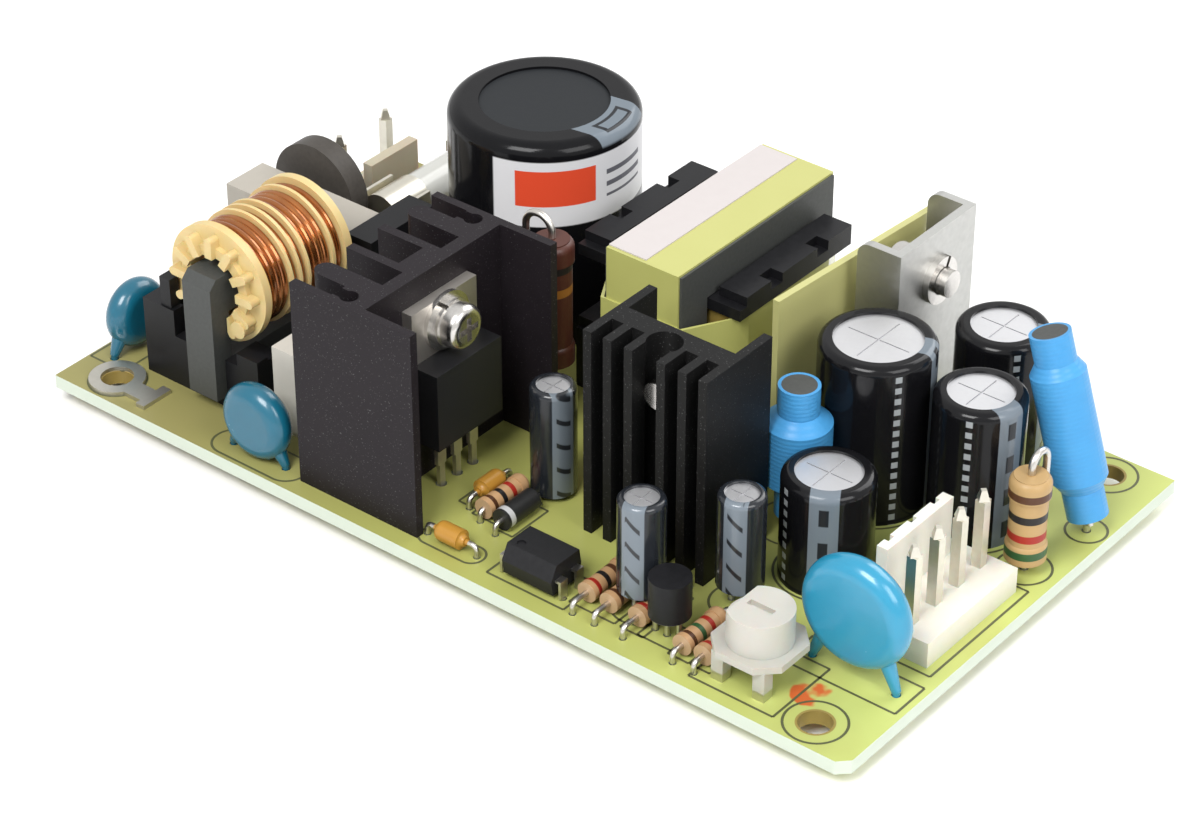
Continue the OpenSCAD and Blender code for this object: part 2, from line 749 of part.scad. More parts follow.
// Black carrier under the choke, with the ferrite bar lying in its channel
choke_base_x = [-9.9, 6.9];
choke_block_h = 6.2;
choke_peg_h = 13;
module choke_base() {
    x0 = choke_at[0] + choke_base_x[0];
    x1 = choke_at[0] + choke_base_x[1];
    color("black") difference() {
        union() {
            on_board([x0, choke_front + 1.5], 0) cube([x1 - x0, choke_back - choke_front - 1.5, choke_block_h]);
            on_board([x0, choke_front + 1.5], 0) cube([4.6, 4, choke_block_h + 3.2]);
            on_board([x0 + 2.6, choke_front + 1.7], 0) cube([1.5, 3.1, choke_peg_h]);
            on_board([x1 - 3, choke_front + 1.5], 0) cube([3, 2.4, choke_block_h + 1.5]);
            for (y = [-1, 1]) for (p = pair_x(choke_at + [-1.8, y * choke_pin_y], choke_pin_x)) lead(p, lead_d, 1);
        }
        core_outline(core_fit);
        on_board([x0 - 1, choke_at[1] - 4], choke_block_h - 2.5)
            cube([x1 - x0 + 2, 8, 3]);
        on_board([choke_at[0] - choke_flange_d / 2 - 0.3, choke_at[1] - choke_l / 2 - 0.3], choke_axis_h - choke_flange_d / 2)
            cube([choke_flange_d + 0.6, choke_l + 0.6, choke_axis_h]);
    }
}

module bridge_rectifier() {
    color("black") {
        on_board(bridge_at, bridge_lift) translate([-bridge_t / 2, 0, 0]) rotate([90, 0, 90])
            linear_extrude(bridge_t) difference() {
                translate([-bridge_l / 2, 0]) square([bridge_l, bridge_h]);
                translate([bridge_l / 2, bridge_h]) rotate(45) square(bridge_cut * sqrt(2), center = true);
            }
        for (i = [-1.5:1:1.5]) lead(bridge_at + [0, i * bridge_pitch], lead_d, bridge_lift + 1);
    }
}
bridge_cut = 1.6;

// Can of an electrolytic capacitor, whose end face is scored with a cross
module can(at, d, h, end_d, pitch, turn, shoulder, score_l) {
    difference() {
        on_board(at, sleeve_t) rotate_extrude()
            rounded_side(d / 2 - sleeve_t, h - 2 * sleeve_t, shoulder - sleeve_t);
        if (score_l > 0) for (a = [0, 90]) on_board(at, h - sleeve_t - score_t) rotate(a)
            slab(score_l, score_t, 0.5);
    }
    for (p = lead_pair(at, pitch, turn)) lead(p, lead_d, sleeve_t + 0.5);
}

score_t = 0.16;
function lead_pair(at, pitch, turn) = turn == 0 ? pair_x(at, pitch) : pair_y(at, pitch);

// Shrink sleeve around a can: it turns in over the shoulder and under the foot
module sleeve(at, d, h, end_d, pitch, turn, shoulder) {
    difference() {
        on_board(at) rotate_extrude() difference() {
            rounded_side(d / 2, h, shoulder);
            translate([0, sleeve_t]) rounded_side(d / 2 - sleeve_t, h - 2 * sleeve_t, shoulder - sleeve_t);
            translate([0, h / 2]) square([end_d / 2, h]);
        }
        for (p = lead_pair(at, pitch, turn)) on_board(p, -1)
            cylinder(d = lead_d + 2 * lead_gap, h = 2, $fn = 24);
    }
}

// Half section of a cylinder with a rounded upper edge
module rounded_side(r, h, shoulder) {
    square([r - shoulder, h]);
    square([r, h - shoulder]);
    intersection() {
        translate([r - shoulder, h - shoulder]) circle(r = shoulder, $fn = 32);
        square([r, h]);
    }
}

module bulk_capacitor_can() {
    color("dimgray") can(bulk_at, bulk_d, bulk_h, bulk_end_d, bulk_pitch, 0, bulk_shoulder, 0);
}

module bulk_capacitor_sleeve() {
    color("black") sleeve(bulk_at, bulk_d, bulk_h, bulk_end_d, bulk_pitch, 0, bulk_shoulder);
}

cap_shoulder = 0.9;
module output_capacitor_cans() {
    color("silver") for (i = [0:len(output_cap_at) - 1])
        can(output_cap_at[i], output_cap_d[i], output_cap_h[i], output_end_d[i], cap_pitch, 0,
            cap_shoulder, output_end_d[i] * 0.8);
}

module output_capacitor_sleeves() {
    color("black") for (i = [0:len(output_cap_at) - 1])
        sleeve(output_cap_at[i], output_cap_d[i], output_cap_h[i], output_end_d[i], cap_pitch, 0, cap_shoulder);
}

// Two of the small cans stand on their leads, above the flat parts
small_cap_lift = [2.6, 2.6, 0.6];
small_cap_turn = [90, 0, 0];
small_end_d = small_cap_d - 1.4;
small_shoulder = 0.6;
module small_capacitor_cans() {
    color("silver") for (i = [0:2]) {
        difference() {
            on_board(small_cap_at[i], small_cap_lift[i] + sleeve_t) rotate_extrude()
                rounded_side(small_cap_d / 2 - sleeve_t, small_cap_l[i] - 2 * sleeve_t, small_shoulder - sleeve_t);
            for (a = [0, 90]) on_board(small_cap_at[i], small_cap_lift[i] + small_cap_l[i] - sleeve_t - score_t)
                rotate(a) slab(small_end_d * 0.8, score_t, 0.5);
        }
        for (p = lead_pair(small_cap_at[i], small_cap_pitch, small_cap_turn[i]))
            lead(p, thin_lead_d, small_cap_lift[i] + sleeve_t + 0.5);
    }
}

module small_capacitor_sleeves() {
    color("slategray") for (i = [0:2]) difference() {
        on_board(small_cap_at[i], small_cap_lift[i]) rotate_extrude() difference() {
            rounded_side(small_cap_d / 2, small_cap_l[i], small_shoulder);
            translate([0, sleeve_t])
                rounded_side(small_cap_d / 2 - sleeve_t, small_cap_l[i] - 2 * sleeve_t, small_shoulder - sleeve_t);
            translate([0, small_cap_l[i] / 2]) square([small_end_d / 2, small_cap_l[i]]);
        }
        for (p = lead_pair(small_cap_at[i], small_cap_pitch, small_cap_turn[i]))
            on_board(p, small_cap_lift[i] - 1) cylinder(d = thin_lead_d + 2 * lead_gap, h = 2, $fn = 24);
    }
}

// Main heatsink: two end plates on a web, with thin and wide fins on the far side of the bolted device
main_fin_l = 7.7;
main_plate_front = 8.5;
main_wide_fin_y = 7.2;
main_block_l = 2.8;
main_boss_t = 1.5;
main_thin_y = [-2.3, 2.55];
sink_pin_h = 6;

module main_profile() {
    half = main_sink_w / 2;
    difference() {
        union() {
            translate([0, -half]) square([main_web_t, main_sink_w]);
            for (s = [-1, 1]) {
                translate([-main_fin_l, s * (half - main_plate_t / 2) - main_plate_t / 2])
                    square([main_fin_l + main_plate_front, main_plate_t]);
                translate([-main_fin_l + main_wide_fin_t / 2, s * main_wide_fin_y - main_wide_fin_t / 2])
                    square([main_fin_l, main_wide_fin_t]);
                translate([-main_fin_l + main_wide_fin_t / 2, s * main_wide_fin_y]) circle(d = main_wide_fin_t);
                translate([-main_block_l, s < 0 ? -half : main_wide_fin_y])
                    square([main_block_l, half - main_wide_fin_y]);
            }
            for (y = main_thin_y) translate([-main_fin_l, y - main_fin_t / 2]) square([main_fin_l, main_fin_t]);
            translate([-main_boss_t, main_thin_y[0]]) square([main_boss_t, main_thin_y[1] - main_thin_y[0]]);
        }
        for (s = [-1, 1]) translate([-main_channel_r - 0.2, s * main_channel_y]) {
            circle(r = main_channel_r);
            translate([-main_fin_l, -main_channel_r * 0.7]) square([main_fin_l, main_channel_r * 1.4]);
        }
    }
}

module main_heatsink() {
    color("dimgray") difference() {
        on_board(main_sink_at) linear_extrude(sink_h) main_profile();
        on_board(main_sink_at, tab_hole_h) translate([-main_boss_t - 1, 0, 0]) rotate([0, 90, 0])
            cylinder(d = screw_d + 2 * screw_gap, h = main_boss_t + main_web_t + 2);
    }
}

module heatsink_pins() {
    color("silver") for (p = heatsink_pin_spots) lead(p, sink_pin_d, sink_pin_h);
}

out_fin_x = [-7.2, -4.67, -2.03, 2.03, 4.67, 7.2];
out_channel_r = 1.9;
module out_profile() {
    half = out_fin_x[5] + out_fin_t / 2;
    difference() {
        union() {
            translate([-half, -out_web_t]) square([2 * half, out_web_t]);
            for (x = out_fin_x) translate([x - out_fin_t / 2, -out_web_t - out_fin_l])
                square([out_fin_t, out_fin_l + out_web_t]);
            for (x = [out_fin_x[0], out_fin_x[5]]) translate([x - out_fin_t / 2, -eps])
                square([out_fin_t, out_tail_l + eps]);
        }
        translate([0, -out_web_t - 0.1]) circle(r = out_channel_r);
    }
}

module output_heatsink() {
    color("dimgray") difference() {
        on_board(out_sink_at) linear_extrude(sink_h) out_profile();
        on_board(out_sink_at, tab_hole_h) rotate([90, 0, 0]) translate([0, 0, -1])
            cylinder(d = screw_d + 2 * screw_gap, h = out_web_t + 2);
    }
}

// Metal frame of a bolted semiconductor: its back lies in the YZ plane and it faces +X
module device_frame() {
    difference() {
        translate([0, -tab_w / 2, mould_base_h + 0.6]) cube([tab_t, tab_w, tab_top_h - mould_base_h - 0.6]);
        translate([-1, 0, tab_hole_h]) rotate([0, 90, 0]) cylinder(d = screw_d + 4 * screw_gap, h = tab_t + 2);
    }
    for (i = [-1:1]) {
        translate([lead_plane - lead_strip_t / 2, i * blade_pitch - blade_w / 2, -board_t])
            cube([lead_strip_t, blade_w, mould_base_h + board_t + 1.5]);
        translate([lead_plane - lead_strip_t / 2, i * blade_pitch - blade_w * 0.8, mould_base_h - 3.6])
            cube([lead_strip_t, blade_w * 1.6, 5.1]);
    }
}

module device_body() {
    difference() {
        translate([0, -tab_w / 2, mould_base_h]) cube([mould_t, tab_w, mould_l]);
        translate([-1, -tab_w, mould_base_h - 1]) cube([1 + tab_t, 2 * tab_w, mould_l + 2]);
        device_frame();
    }
}

module at_main() {
    on_board(main_tab_at) children();
}

module at_output() {
    on_board(out_sink_at) rotate(90) children();
}

module at_bracket() {
    on_board(bracket_tab_at) rotate(180) children();
}

module transistor_frame() {
    color("silver") at_main() device_frame();
}

module transistor_body() {
    color("black") at_main() device_body();
}

module rectifier_frame() {
    color("silver") at_output() device_frame();
}

module rectifier_body() {
    color("black") at_output() device_body();
}

module bracket_diode_frame() {
    color("silver") at_bracket() device_frame();
}

module bracket_diode_body() {
    color("black") at_bracket() device_body();
}

// Bracket of folded steel: a plate with a flange at each end
bracket_h = 24.6;
bracket_corner_r = 1.5;
module bracket() {
    color("silver") difference() {
        on_board([bracket_at[0] - bracket_flange_l, bracket_at[1] - bracket_l / 2])
            cube([bracket_flange_l, bracket_l, bracket_h]);
        on_board([bracket_at[0] - bracket_flange_l - 1, bracket_at[1] - bracket_l / 2 + bracket_t], -1)
            cube([bracket_flange_l + 1 - bracket_t, bracket_l - 2 * bracket_t, bracket_h + 2]);
        on_board([bracket_at[0] - bracket_flange_l, bracket_at[1]], bracket_h) difference() {
            translate([-1, -bracket_l / 2 - 1, -bracket_corner_r])
                cube([bracket_corner_r + 1, bracket_l + 2, bracket_corner_r + 1]);
            translate([bracket_corner_r, 0, -bracket_corner_r]) rotate([90, 0, 0])
                translate([0, 0, -bracket_l / 2 - 2]) cylinder(r = bracket_corner_r, h = bracket_l + 4);
        }
        on_board(bracket_at, tab_hole_h) rotate([0, -90, 0]) translate([0, 0, -1])
            cylinder(d = screw_d + 2 * screw_gap, h = bracket_t + 2);
    }
}

// Stack under a screw head, from the tab's face outwards along +X
stack_h = washer_t + spring_t;
screw_end = 1.2;
module screw(reach) {
    translate([0, 0, tab_hole_h]) rotate([0, 90, 0]) {
        translate([0, 0, -reach]) cylinder(d = screw_d, h = reach + tab_t + stack_h + 0.5);
        translate([0, 0, tab_t + stack_h]) difference() {
            rotate_extrude() rounded_side(head_d / 2, head_h, head_h * 0.45);
            for (a = [0, 90]) rotate(a) translate([0, 0, head_h * 0.45]) slab(head_d * 0.55, 0.7, head_h);
        }
    }
}

module mounting_screws() {
    color("gainsboro") {
        at_main() screw(main_web_t + main_boss_t + 0.3);
        at_output() screw(out_web_t + 1.5);
        at_bracket() screw(bracket_t + spring_t + screw_end);
    }
}

module stack_ring(from, d, h) {
    translate([from, 0, tab_hole_h]) rotate([0, 90, 0]) ring(d, screw_d + 2 * screw_gap, h);
}

module flat_washers() {
    color("silver") {
        at_main() stack_ring(tab_t, washer_d, washer_t);
        at_output() stack_ring(tab_t, washer_d, washer_t);
        at_bracket() stack_ring(tab_t, washer_d, washer_t);
    }
}

spring_slit = 0.5;
module spring_washer(from) {
    difference() {
        stack_ring(from, screw_d + 2.4, spring_t);
        translate([from - 1, 0, tab_hole_h]) rotate([25, 0, 0]) translate([0, -spring_slit / 2, 0])
            cube([spring_t + 2, spring_slit, screw_d + 2]);
    }
}

module spring_washers() {
    color("silver") {
        at_main() spring_washer(tab_t + washer_t);
        at_output() spring_washer(tab_t + washer_t);
        at_bracket() spring_washer(tab_t + washer_t);
        at_bracket() spring_washer(-bracket_t - spring_t);
    }
}

module insulation_barrier() {
    color("khaki") on_board(barrier_at) rotate(barrier_turn) slab(barrier_t, barrier_l, barrier_h);
}

// Transformer: a closed core around a bobbin whose axis stands upright
core_top_h2 = core_lift + core_h;
bobbin_gap = 0.1;
bobbin_y = core_centre_l + 2 * (bobbin_gap + bobbin_wall);
bobbin_x = core_w + 2 * (bobbin_gap + bobbin_wall);
window_h = core_h - 2 * core_side;
flange_y = core_l - 2 * core_side - 2 * bobbin_gap;
rail_rise = 1.1;
module transformer_core() {
    color("dimgray") on_board(transformer_at, core_lift) difference() {
        slab(core_w, core_l, core_h);
        for (s = [-1, 1]) translate([0, s * (core_centre_l + core_l - 2 * core_side) / 4, core_side])
            slab(core_w + 2, (core_l - 2 * core_side - core_centre_l) / 2, window_h);
    }
}

module transformer_bobbin() {
    color("black") difference() {
        on_board(transformer_at, core_lift + core_side + bobbin_gap) {
            slab(bobbin_x, bobbin_y, window_h - 2 * bobbin_gap);
            for (z = [0, window_h - 2 * bobbin_gap - bobbin_flange_t]) translate([rail_x[0], -flange_y / 2, z])
                cube([rail_x[1] - rail_x[0], flange_y, bobbin_flange_t]);
            translate([0, 0, window_h - 2 * bobbin_gap - bobbin_flange_t]) top_rails();
        }
        on_board(transformer_at, 0) slab(core_w + 2 * bobbin_gap, core_centre_l + 2 * bobbin_gap, core_top_h2 + 1);
    }
    color("black") for (s = [0, 1]) difference() {
        on_board(transformer_at + [s == 0 ? rail_x[0] : rail_x[1] - rail_w, -rail_l / 2])
            cube([rail_w, rail_l, core_lift + core_side + bobbin_gap + eps]);
        for (p = transformer_pins) drill(p, 0.1);
    }
    for (p = transformer_pins) lead(p, lead_d, 1);
}

// Raised ends of the upper flange, notched where the wires pass
module top_rails() {
    for (s = [0, 1]) difference() {
        translate([s == 0 ? rail_x[0] : rail_x[1] - rail_w, rail_shift - rail_l / 2, 0])
            cube([rail_w, rail_l, bobbin_flange_t + rail_rise]);
        for (y = [-0.22, 0.22]) translate([s == 0 ? rail_x[0] - 1 : rail_x[1] - 1.6, rail_shift + y * rail_l - 1, -1])
            cube([2.6, 2, bobbin_flange_t + rail_rise + 2]);
    }
}

module transformer_winding() {
    z0 = core_lift + core_side + bobbin_gap + bobbin_flange_t;
    h = window_h - 2 * bobbin_gap - 2 * bobbin_flange_t;
    color("gold") on_board(transformer_at, z0) linear_extrude(h) difference() {
        rounded_rectangle(bobbin_x + 2 * winding_t, bobbin_y + 2 * winding_t, winding_t);
        square([bobbin_x, bobbin_y], center = true);
    }
}

module rounded_rectangle(x, y, r) {
    square([x - 2 * r, y], center = true);
    square([x, y - 2 * r], center = true);
    for (sx = [-1, 1]) for (sy = [-1, 1]) translate([sx * (x / 2 - r), sy * (y / 2 - r)]) circle(r = r);
}

// Tape: a band over the core's length, and a wrap around its waist and the winding
module transformer_tape() {
    color("gold") {
        on_board(transformer_at, core_lift - tape_t) difference() {
            slab(core_w - 0.6, core_l + 2 * tape_t, core_h + 2 * tape_t);
            translate([0, 0, tape_t]) slab(core_w + 2, core_l, core_h);
        }
        on_board(transformer_at, core_lift + core_side + bobbin_gap + bobbin_flange_t + wrap_gap)
            linear_extrude(window_h - 2 * bobbin_gap - 2 * bobbin_flange_t - 2 * wrap_gap) difference() {
                waist(tape_t);
                waist(0);
            }
    }
}
wrap_gap = 0.15;

// Outline around the core's legs and the bulge of the winding, grown by an offset
module waist(extra) {
    x0 = core_w / 2 + 0.02 + extra;
    y0 = core_l / 2 + tape_t - 0.01 + extra;
    x1 = bobbin_x / 2 + winding_t + 0.02 + extra;
    y1 = bobbin_y / 2 + winding_t * 0.6;
    polygon([
        [x0, y0], [x1, y1], [x1, -y1], [x0, -y0], [-x0, -y0], [-x1, -y1], [-x1, y1], [-x0, y0]
    ]);
}

label_t = 0.15;
module transformer_label() {
    color("white") on_board(transformer_at + [-core_w / 2 + 0.3, -core_l / 2 + 0.2], core_top_h2 + tape_t)
        cube([label_w, core_l - 0.4, label_t]);
}

// Rod choke: a ferrite rod whose winding and necks are held in shrink tube
rod_foot_h = [1.6, 2];
module rod_turn(i) {
    on_board(rod_choke_at[i], rod_foot_h[i]) rotate([0, -rod_choke_lean[i], 0]) children();
}

rod_sleeve_t = 0.35;
rod_cone_l = 1.2;
function rod_total(i) = 2 * rod_neck_l + 2 * rod_cone_l + rod_body_l[i];
module rod_choke_cores() {
    color("dimgray") for (i = [0, 1]) {
        rod_turn(i) cylinder(d = rod_d, h = rod_total(i));
        rod_turn(i) translate([0, 0, -rod_foot_h[i] * 0.6]) cylinder(d = lead_d, h = rod_foot_h[i]);
        lead(rod_choke_at[i], lead_d, 0.9);
    }
}

module rod_choke_sleeves() {
    r_neck = rod_d / 2 + rod_sleeve_t;
    z1 = rod_neck_l;
    z2 = z1 + rod_cone_l;
    color("dodgerblue") for (i = [0, 1]) rod_turn(i) rotate_extrude() polygon([
        [rod_d / 2, 0], [r_neck, 0], [r_neck, z1], [rod_body_d[i] / 2, z2],
        [rod_body_d[i] / 2, rod_total(i) - z2], [r_neck, rod_total(i) - z1],
        [r_neck, rod_total(i)], [rod_d / 2, rod_total(i)]
    ]);
}

// Resistor standing on end, with its upper lead bent over and back down to the board
module upright_resistor(at, d, l, lift, back, dir) {
    on_board(at, lift) dumbbell(d, l);
    lead(at, lead_d, lift + 0.5);
    lead(at + back * dir, lead_d, lift + l + 0.6);
    on_board(at, lift + l - 0.5) cylinder(d = lead_d, h = 1.1, $fn = 24);
    on_board(at + back * dir / 2, lift + l + 0.6) rotate([90, 0, dir[0] == 0 ? 90 : 0])
        rotate_extrude(angle = 180) translate([back / 2, 0]) circle(d = lead_d, $fn = 24);
}

// Body of an axial resistor, thicker at its ends
module dumbbell(d, l) {
    e = d * 0.55;
    rotate_extrude() {
        rounded_side(d / 2, e, d * 0.2);
        translate([0, l - e]) rounded_side(d / 2, e, d * 0.2);
        translate([0, d * 0.2]) square([d * 0.45, l - d * 0.4]);
        translate([0, l - e]) square([d / 2, d * 0.2]);
        translate([0, 0]) square([d * 0.4, l]);
    }
}

module bleed_resistor() {
    color("tan") upright_resistor(bleed_at, bleed_d, bleed_l, bleed_lift, bleed_turn_back, [0, 1]);
}

module snubber_resistor() {
    color("indianred") upright_resistor(snubber_at, snubber_d, snubber_l, snubber_lift, snubber_turn_back, [-1, 0]);
}

// Axial part lying along Y between two holes, with its leads bent down
module axial_leads(at, pitch, l, h, d) {
    r = d;
    for (s = [-1, 1]) {
        lead(at + [0, s * pitch / 2], d, h - r);
        on_board(at + [0, s * (pitch / 2 - r)], h - r) rotate([90, 0, 90 * s]) rotate_extrude(angle = 90)
            translate([r, 0]) circle(d = d, $fn = 24);
        on_board(at + [0, s * (l / 2 - 0.4)], h) rotate([-90 * s, 0, 0])
            cylinder(d = d, h = pitch / 2 - r - l / 2 + 0.4, $fn = 24);
    }
}

module film_resistors() {
    color("tan") for (i = [0:len(film_at) - 1]) {
        along_y(film_at[i], axial_h) translate([0, 0, -film_l / 2]) dumbbell(film_d, film_l);
        axial_leads(film_at[i], film_pitch[i], film_l, axial_h, thin_lead_d);
    }
}

ceramic_d = 2.2;
ceramic_l = 3.8;
module ceramic_capacitors() {
    color("orange") for (i = [0, 1])
        translate([ceramic_at[i][0], ceramic_at[i][1], 0]) rotate(ceramic_turn[i] == 0 ? 90 : 0) {
            along_y([0, 0], axial_h) translate([0, 0, -ceramic_l / 2]) rotate_extrude() difference() {
                translate([0, 0]) rounded_side(ceramic_d / 2, ceramic_l, ceramic_d * 0.35);
                translate([ceramic_d / 2, 0]) circle(r = ceramic_d * 0.25, $fn = 32);
            }
            axial_leads([0, 0], ceramic_pitch, ceramic_l, axial_h, thin_lead_d);
        }
}

module diode() {
    color("black") {
        along_y(diode_at, axial_h) translate([0, 0, -diode_l / 2]) cylinder(d = diode_d, h = diode_l);
        axial_leads(diode_at, diode_pitch, diode_l, axial_h, thin_lead_d);
    }
}

opto_lift = 0.5;
module optocoupler() {
    color("black") difference() {
        on_board(opto_at, opto_lift) rotate([90, 0, 90]) translate([0, 0, -opto_l / 2])
            linear_extrude(opto_l) polygon([
                [-opto_w / 2 + 0.3, 0], [opto_w / 2 - 0.3, 0], [opto_w / 2, opto_h / 2],
                [opto_w / 2 - 0.3, opto_h], [-opto_w / 2 + 0.9, opto_h], [-opto_w / 2, opto_h / 2]
            ]);
        on_board(opto_at + [-opto_l / 2 + 1.2, -opto_w / 2 + 1.7], opto_lift + opto_h - 0.2)
            cylinder(d = 1, h = 1, $fn = 24);
    }
    color("silver") for (y = pair_y(opto_at, opto_pitch[1])) for (s = [-1, 1]) {
        lead([y[0] + s * opto_pitch[0] / 2, y[1]], thin_lead_d, 0.2);
        on_board([y[0] + s * opto_pitch[0] / 2, y[1]], 0.1) slab(0.3, 1.1, opto_lift + opto_h / 2);
        on_board([y[0] + s * (opto_pitch[0] / 2 - 0.35), y[1]], opto_lift + opto_h / 2 - 0.2) slab(1, 1.1, 0.3);
    }
}

regulator_lift = 2.5;
regulator_t = 3.6;
module regulator() {
    color("black") {
        on_board(regulator_at, regulator_lift) linear_extrude(regulator_h) intersection() {
            translate([0, regulator_w / 2 - regulator_t / 2]) circle(d = regulator_w);
            translate([-regulator_w, -regulator_t / 2]) square([2 * regulator_w, regulator_w]);
        }
        for (i = [-1:1]) lead(regulator_at + [i * regulator_pitch, 0], thin_lead_d, regulator_lift + 0.5);
    }
}

// Trimmer: an eight-sided plate on legs, with a post that the rotor turns on
post_h = rotor_h - 0.8;
rotor_seat_gap = 0.02;
module trimmer_base() {
    color("whitesmoke") {
        on_board(trimmer_at, trimmer_lift) {
            linear_extrude(trimmer_plate_t) intersection() {
                square(trimmer_w, center = true);
                rotate(45) square(trimmer_w * 1.08, center = true);
            }
            cylinder(d = post_d, h = trimmer_plate_t + post_h);
        }
        for (p = trimmer_legs) {
            on_board(p) slab(1.4, 1.4, trimmer_lift + 0.1);
            lead(p, thin_lead_d, 0.5);
        }
    }
}

rotor_step_h = 1.1;
slot_w = 0.8;
slot_l = 3;
module trimmer_rotor() {
    color("white") on_board(trimmer_at, trimmer_lift + trimmer_plate_t + rotor_seat_gap) difference() {
        cylinder(d = rotor_d, h = rotor_h);
        translate([0, 0, -1]) cylinder(d = post_d + 2 * rotor_gap, h = post_h + 1 + rotor_gap);
        translate([0, 0, rotor_h - 0.6]) slab(slot_l, slot_w, 1);
        translate([-rotor_d * 0.5 - 1.5, -rotor_d, rotor_h - rotor_step_h]) cube([2.6, 2 * rotor_d, 2]);
    }
}

circuit_board();
solder_joints();
earth_terminal();
input_header();
output_header();
header_pins();
fuse_tube();
fuse_end_caps();
fuse_clips();
thermistor();
suppression_capacitor_rear();
suppression_capacitor_front();
choke_core();
choke_bobbin();
choke_windings();
choke_base();
disc_capacitor_earth();
disc_capacitor_line();
disc_capacitor_output();
bridge_rectifier();
bulk_capacitor_can();
bulk_capacitor_sleeve();
main_heatsink();
heatsink_pins();
transistor_frame();
transistor_body();
output_heatsink();
rectifier_frame();
rectifier_body();
bracket();
bracket_diode_frame();
bracket_diode_body();
mounting_screws();
flat_washers();
spring_washers();
insulation_barrier();
transformer_core();
transformer_bobbin();
transformer_winding();
transformer_tape();
transformer_label();
output_capacitor_cans();
output_capacitor_sleeves();
small_capacitor_cans();
small_capacitor_sleeves();
rod_choke_cores();
rod_choke_sleeves();
bleed_resistor();
snubber_resistor();
film_resistors();
ceramic_capacitors();
diode();
optocoupler();
regulator();
trimmer_base();
trimmer_rotor();
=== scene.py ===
import math

import bpy
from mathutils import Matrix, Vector


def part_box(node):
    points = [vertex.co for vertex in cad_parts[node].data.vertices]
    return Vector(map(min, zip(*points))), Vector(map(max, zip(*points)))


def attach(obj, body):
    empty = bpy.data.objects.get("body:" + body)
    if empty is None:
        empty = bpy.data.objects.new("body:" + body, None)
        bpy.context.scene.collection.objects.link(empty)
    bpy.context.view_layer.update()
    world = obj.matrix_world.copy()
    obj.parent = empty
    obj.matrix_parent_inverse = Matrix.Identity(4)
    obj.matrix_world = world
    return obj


bpy.ops.wm.read_factory_settings(use_empty=True)
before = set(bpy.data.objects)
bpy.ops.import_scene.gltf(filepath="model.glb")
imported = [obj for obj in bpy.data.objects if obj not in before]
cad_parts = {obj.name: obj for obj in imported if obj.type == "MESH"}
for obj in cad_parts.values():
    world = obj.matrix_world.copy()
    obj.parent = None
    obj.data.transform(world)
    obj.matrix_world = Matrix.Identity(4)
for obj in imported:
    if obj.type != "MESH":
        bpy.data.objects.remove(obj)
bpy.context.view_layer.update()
MM = 0.001
scene = bpy.context.scene


# --- Camera ---------------------------------------------------------------------------------
# A long lens looks down on the board from beyond its front right corner. The output side is
# at the right and nearer, the input side at the left and farther off.
deck_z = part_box("circuit_board")[1].z
sole_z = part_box("circuit_board")[0].z
CAMERA_PLACE = Vector((196.716, -245.976, 219.062)) * MM
CAMERA_AIM = Vector((-3.685, 4.072, 0)) * MM
LENS_MM = 107.16
SENSOR_MM = 36
CLIP_START = 0.01

camera = bpy.data.objects.new("camera", bpy.data.cameras.new("camera"))
camera.data.lens = LENS_MM
camera.data.sensor_width = SENSOR_MM
camera.data.clip_start = CLIP_START
camera.location = CAMERA_PLACE + Vector((0, 0, sole_z))
aim = CAMERA_AIM + Vector((0, 0, sole_z)) - camera.location
camera.rotation_euler = aim.to_track_quat("-Z", "Y").to_euler()
scene.collection.objects.link(camera)
scene.camera = camera


# --- Studio ---------------------------------------------------------------------------------
# A white floor under three soft lamps, with a white surround that metal and gloss reflect.
# The surround gives only a part of its brightness as light on the object.
FLOOR_SIDE = 3.0
FLOOR_SHADE = (0.95, 0.95, 0.95, 1)
FLOOR_ROUGH = 0.9
WHITE = (1, 1, 1, 1)
SURROUND_LIGHT = 0.36
LAMPS = (
    # name, place, side, power
    ("key", (0.05, -0.48, 0.62), 0.35, 5.5),
    ("fill", (0.6, -0.1, 0.5), 0.4, 3.0),
    ("back", (0.1, 0.6, 0.5), 0.5, 3.2),
)

scene.view_settings.view_transform = "Standard"
world = bpy.data.worlds.new("studio")
scene.world = world
world.use_nodes = True
sky = world.node_tree
sky.nodes.clear()
sky_out = sky.nodes.new("ShaderNodeOutputWorld")
sky_seen = sky.nodes.new("ShaderNodeBackground")
sky_seen.inputs["Color"].default_value = WHITE
sky_light = sky.nodes.new("ShaderNodeBackground")
sky_light.inputs["Color"].default_value = WHITE
sky_light.inputs["Strength"].default_value = SURROUND_LIGHT
sky_rays = sky.nodes.new("ShaderNodeLightPath")
sky_mix = sky.nodes.new("ShaderNodeMixShader")
seeing = sky_rays.outputs["Is Camera Ray"]
for ray in ("Is Glossy Ray", "Is Transmission Ray"):
    either = sky.nodes.new("ShaderNodeMath")
    either.operation = "MAXIMUM"
    sky.links.new(seeing, either.inputs[0])
    sky.links.new(sky_rays.outputs[ray], either.inputs[1])
    seeing = either.outputs[0]
sky.links.new(seeing, sky_mix.inputs[0])
sky.links.new(sky_light.outputs[0], sky_mix.inputs[1])
sky.links.new(sky_seen.outputs[0], sky_mix.inputs[2])
sky.links.new(sky_mix.outputs[0], sky_out.inputs["Surface"])

for lamp_name, lamp_place, lamp_side, lamp_power in LAMPS:
    lamp = bpy.data.objects.new(lamp_name, bpy.data.lights.new(lamp_name, "AREA"))
    lamp.data.energy = lamp_power
    lamp.data.size = lamp_side
    lamp.location = lamp_place
    lamp.rotation_euler = (-Vector(lamp_place)).to_track_quat("-Z", "Y").to_euler()
    scene.collection.objects.link(lamp)


